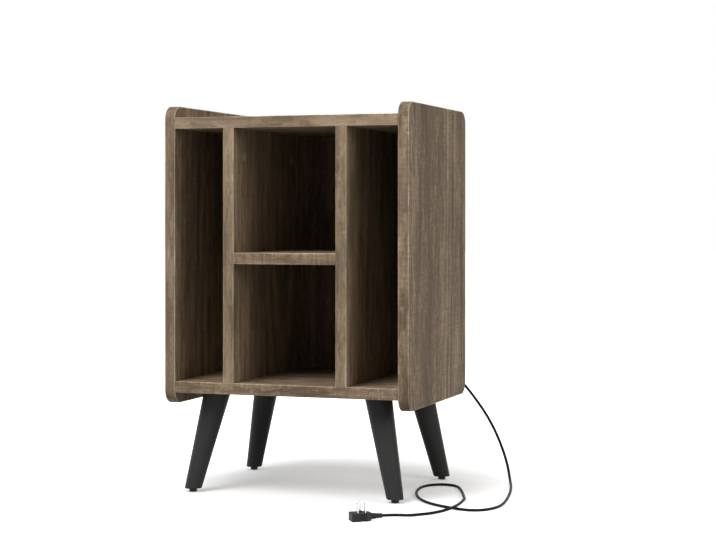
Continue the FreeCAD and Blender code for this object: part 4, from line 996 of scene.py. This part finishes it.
class CABINET_OT_cord(bpy.types.Operator):
    """Lay the power cord along its route"""

    bl_idname = "cabinet.cord"
    bl_label = "Cord"

    def execute(self, context):
        look = context.scene.cabinet_cord
        curve = bpy.data.curves.new("cord", "CURVE")
        curve.dimensions = "3D"
        curve.resolution_u = CORD_STEPS
        curve.bevel_depth = look.diameter / 2
        curve.bevel_resolution = CORD_QUARTER_STEPS
        curve.use_fill_caps = True
        curve.materials.append(finish_of("cord_jacket"))
        spline = curve.splines.new("NURBS")
        spline.points.add(len(CORD_ROUTE) - 1)
        for point, place in zip(spline.points, CORD_ROUTE):
            point.co = (*place, 1)
        spline.order_u = CORD_ORDER
        spline.use_endpoint_u = True
        cord = add_object("cord", curve)
        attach(cord, BODY)
        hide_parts("power_cord")
        plug = self.make_plug(look)
        self.make_relief(look)
        return {"FINISHED"}

    def plug_frame(self):
        """The plug's own frame: X along the cord, Z up, its origin at the body's middle."""
        end, before = Vector(CORD_ROUTE[-1]), Vector(CORD_ROUTE[-2])
        along = (before - end).normalized()
        low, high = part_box("plug_body")
        turn = Matrix((along, UP.cross(along), UP)).transposed().to_4x4()
        return Matrix.Translation((low + high) / 2) @ turn

    def make_plug(self, look):
        """The body with grooves to grip it by, its relief, two blades and a pin."""
        place = self.plug_frame()
        low, high = boxes("plug_body", place)[0]
        spots = [low.x + share * (high.x - low.x) for share in PLUG_GROOVES]
        body = groove(whole_copy("plug_body", place), spots, look.groove_width, PLUG_SQUEEZE)
        body.transform(place)
        blades = self.make_blades(place, look.blade_hole)
        return [
            add_piece("plug_moulding", round_edges(body, look.edge_round), "plug_body"),
            add_rounded("plug_relief", "plug_strain_relief", PLUG_RELIEF_ROUND),
            add_piece("plug_blades_drilled", blades, "plug_blades"),
            add_rounded("plug_pin", "plug_ground_pin", look.edge_round),
        ]

    def make_blades(self, place, hole):
        """Two flat blades with a hole near each tip, drawn on the plug's YZ plane."""
        whole = bmesh.new()
        for low, high in boxes("plug_blades", place):
            middle, corner = (low.y + high.y) / 2, (high.y - low.y) * BLADE_CORNER
            shoulder = high.z - corner
            outline = [whole.verts.new((low.x, across, up)) for across, up in (
                (low.y, low.z), (high.y, low.z), (high.y, shoulder),
                (high.y - corner, high.z), (low.y + corner, high.z), (low.y, shoulder))]
            edges = [whole.edges.new(pair) for pair in zip(outline, outline[1:] + outline[:1])]
            centre = Matrix.Translation((low.x, middle, high.z - hole * HOLE_BELOW_TIP))
            ring = bmesh.ops.create_circle(
                whole, cap_ends=False, segments=HOLE_SIDES, radius=hole / 2,
                matrix=centre @ Matrix.Rotation(QUARTER_TURN, 4, "Y"))["verts"]
            edges += dict.fromkeys(edge for vertex in ring for edge in vertex.link_edges)
            faces = bmesh.ops.triangle_fill(whole, use_beauty=True, edges=edges)["geom"]
            made = bmesh.ops.extrude_face_region(whole, geom=only(BMFace, faces))["geom"]
            bmesh.ops.translate(whole, vec=(high.x - low.x, 0, 0), verts=only(BMVert, made))
        bmesh.ops.recalc_face_normals(whole, faces=whole.faces)
        whole.transform(place)
        return round_edges(whole, BLADE_ROUND)

    def make_relief(self, look):
        """The strain relief under the housing, with grooves down its taper."""
        node = "cord_strain_relief"
        low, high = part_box(node)
        upright = (Matrix.Translation((low + high) / 2)
                   @ Matrix.Rotation(QUARTER_TURN, 4, "Y"))
        spots = [(high.z - low.z) * (share - 0.5) for share in RELIEF_GROOVES]
        shape = groove(whole_copy(node, upright), spots, look.groove_width, RELIEF_SQUEEZE)
        shape.transform(upright)
        add_piece("grooved_relief", round_edges(shape, CORD_RELIEF_ROUND), node)


class CABINET_PT_panel(bpy.types.Panel):
    """Lists the cabinet's operators in the sidebar"""

    bl_idname = "CABINET_PT_panel"
    bl_label = "Record cabinet"
    bl_space_type = "VIEW_3D"
    bl_region_type = "UI"
    bl_category = "Cabinet"

    def draw(self, context):
        for operator in OPERATORS:
            self.layout.operator(operator.bl_idname)


GROUPS = {
    "cabinet_laminate": CABINET_PG_laminate,
    "cabinet_legs": CABINET_PG_legs,
    "cabinet_feet": CABINET_PG_feet,
    "cabinet_caps": CABINET_PG_caps,
    "cabinet_station": CABINET_PG_station,
    "cabinet_cord": CABINET_PG_cord,
    "cabinet_stage": CABINET_PG_stage,
}
OPERATORS = (CABINET_OT_stage, CABINET_OT_finishes, CABINET_OT_cord, CABINET_OT_station,
             CABINET_OT_legs, CABINET_OT_feet, CABINET_OT_fasteners, CABINET_OT_caps)
CLASSES = (*GROUPS.values(), *OPERATORS, CABINET_PT_panel)


def register():
    for item in CLASSES:
        bpy.utils.register_class(item)
    for name, group in GROUPS.items():
        setattr(bpy.types.Scene, name, PointerProperty(type=group))


def unregister():
    for name in GROUPS:
        delattr(bpy.types.Scene, name)
    for item in reversed(CLASSES):
        bpy.utils.unregister_class(item)


def main():
    register()
    for operator in OPERATORS:
        family, name = operator.bl_idname.split(".")
        getattr(getattr(bpy.ops, family), name)()


if __name__ == "__main__":
    main()
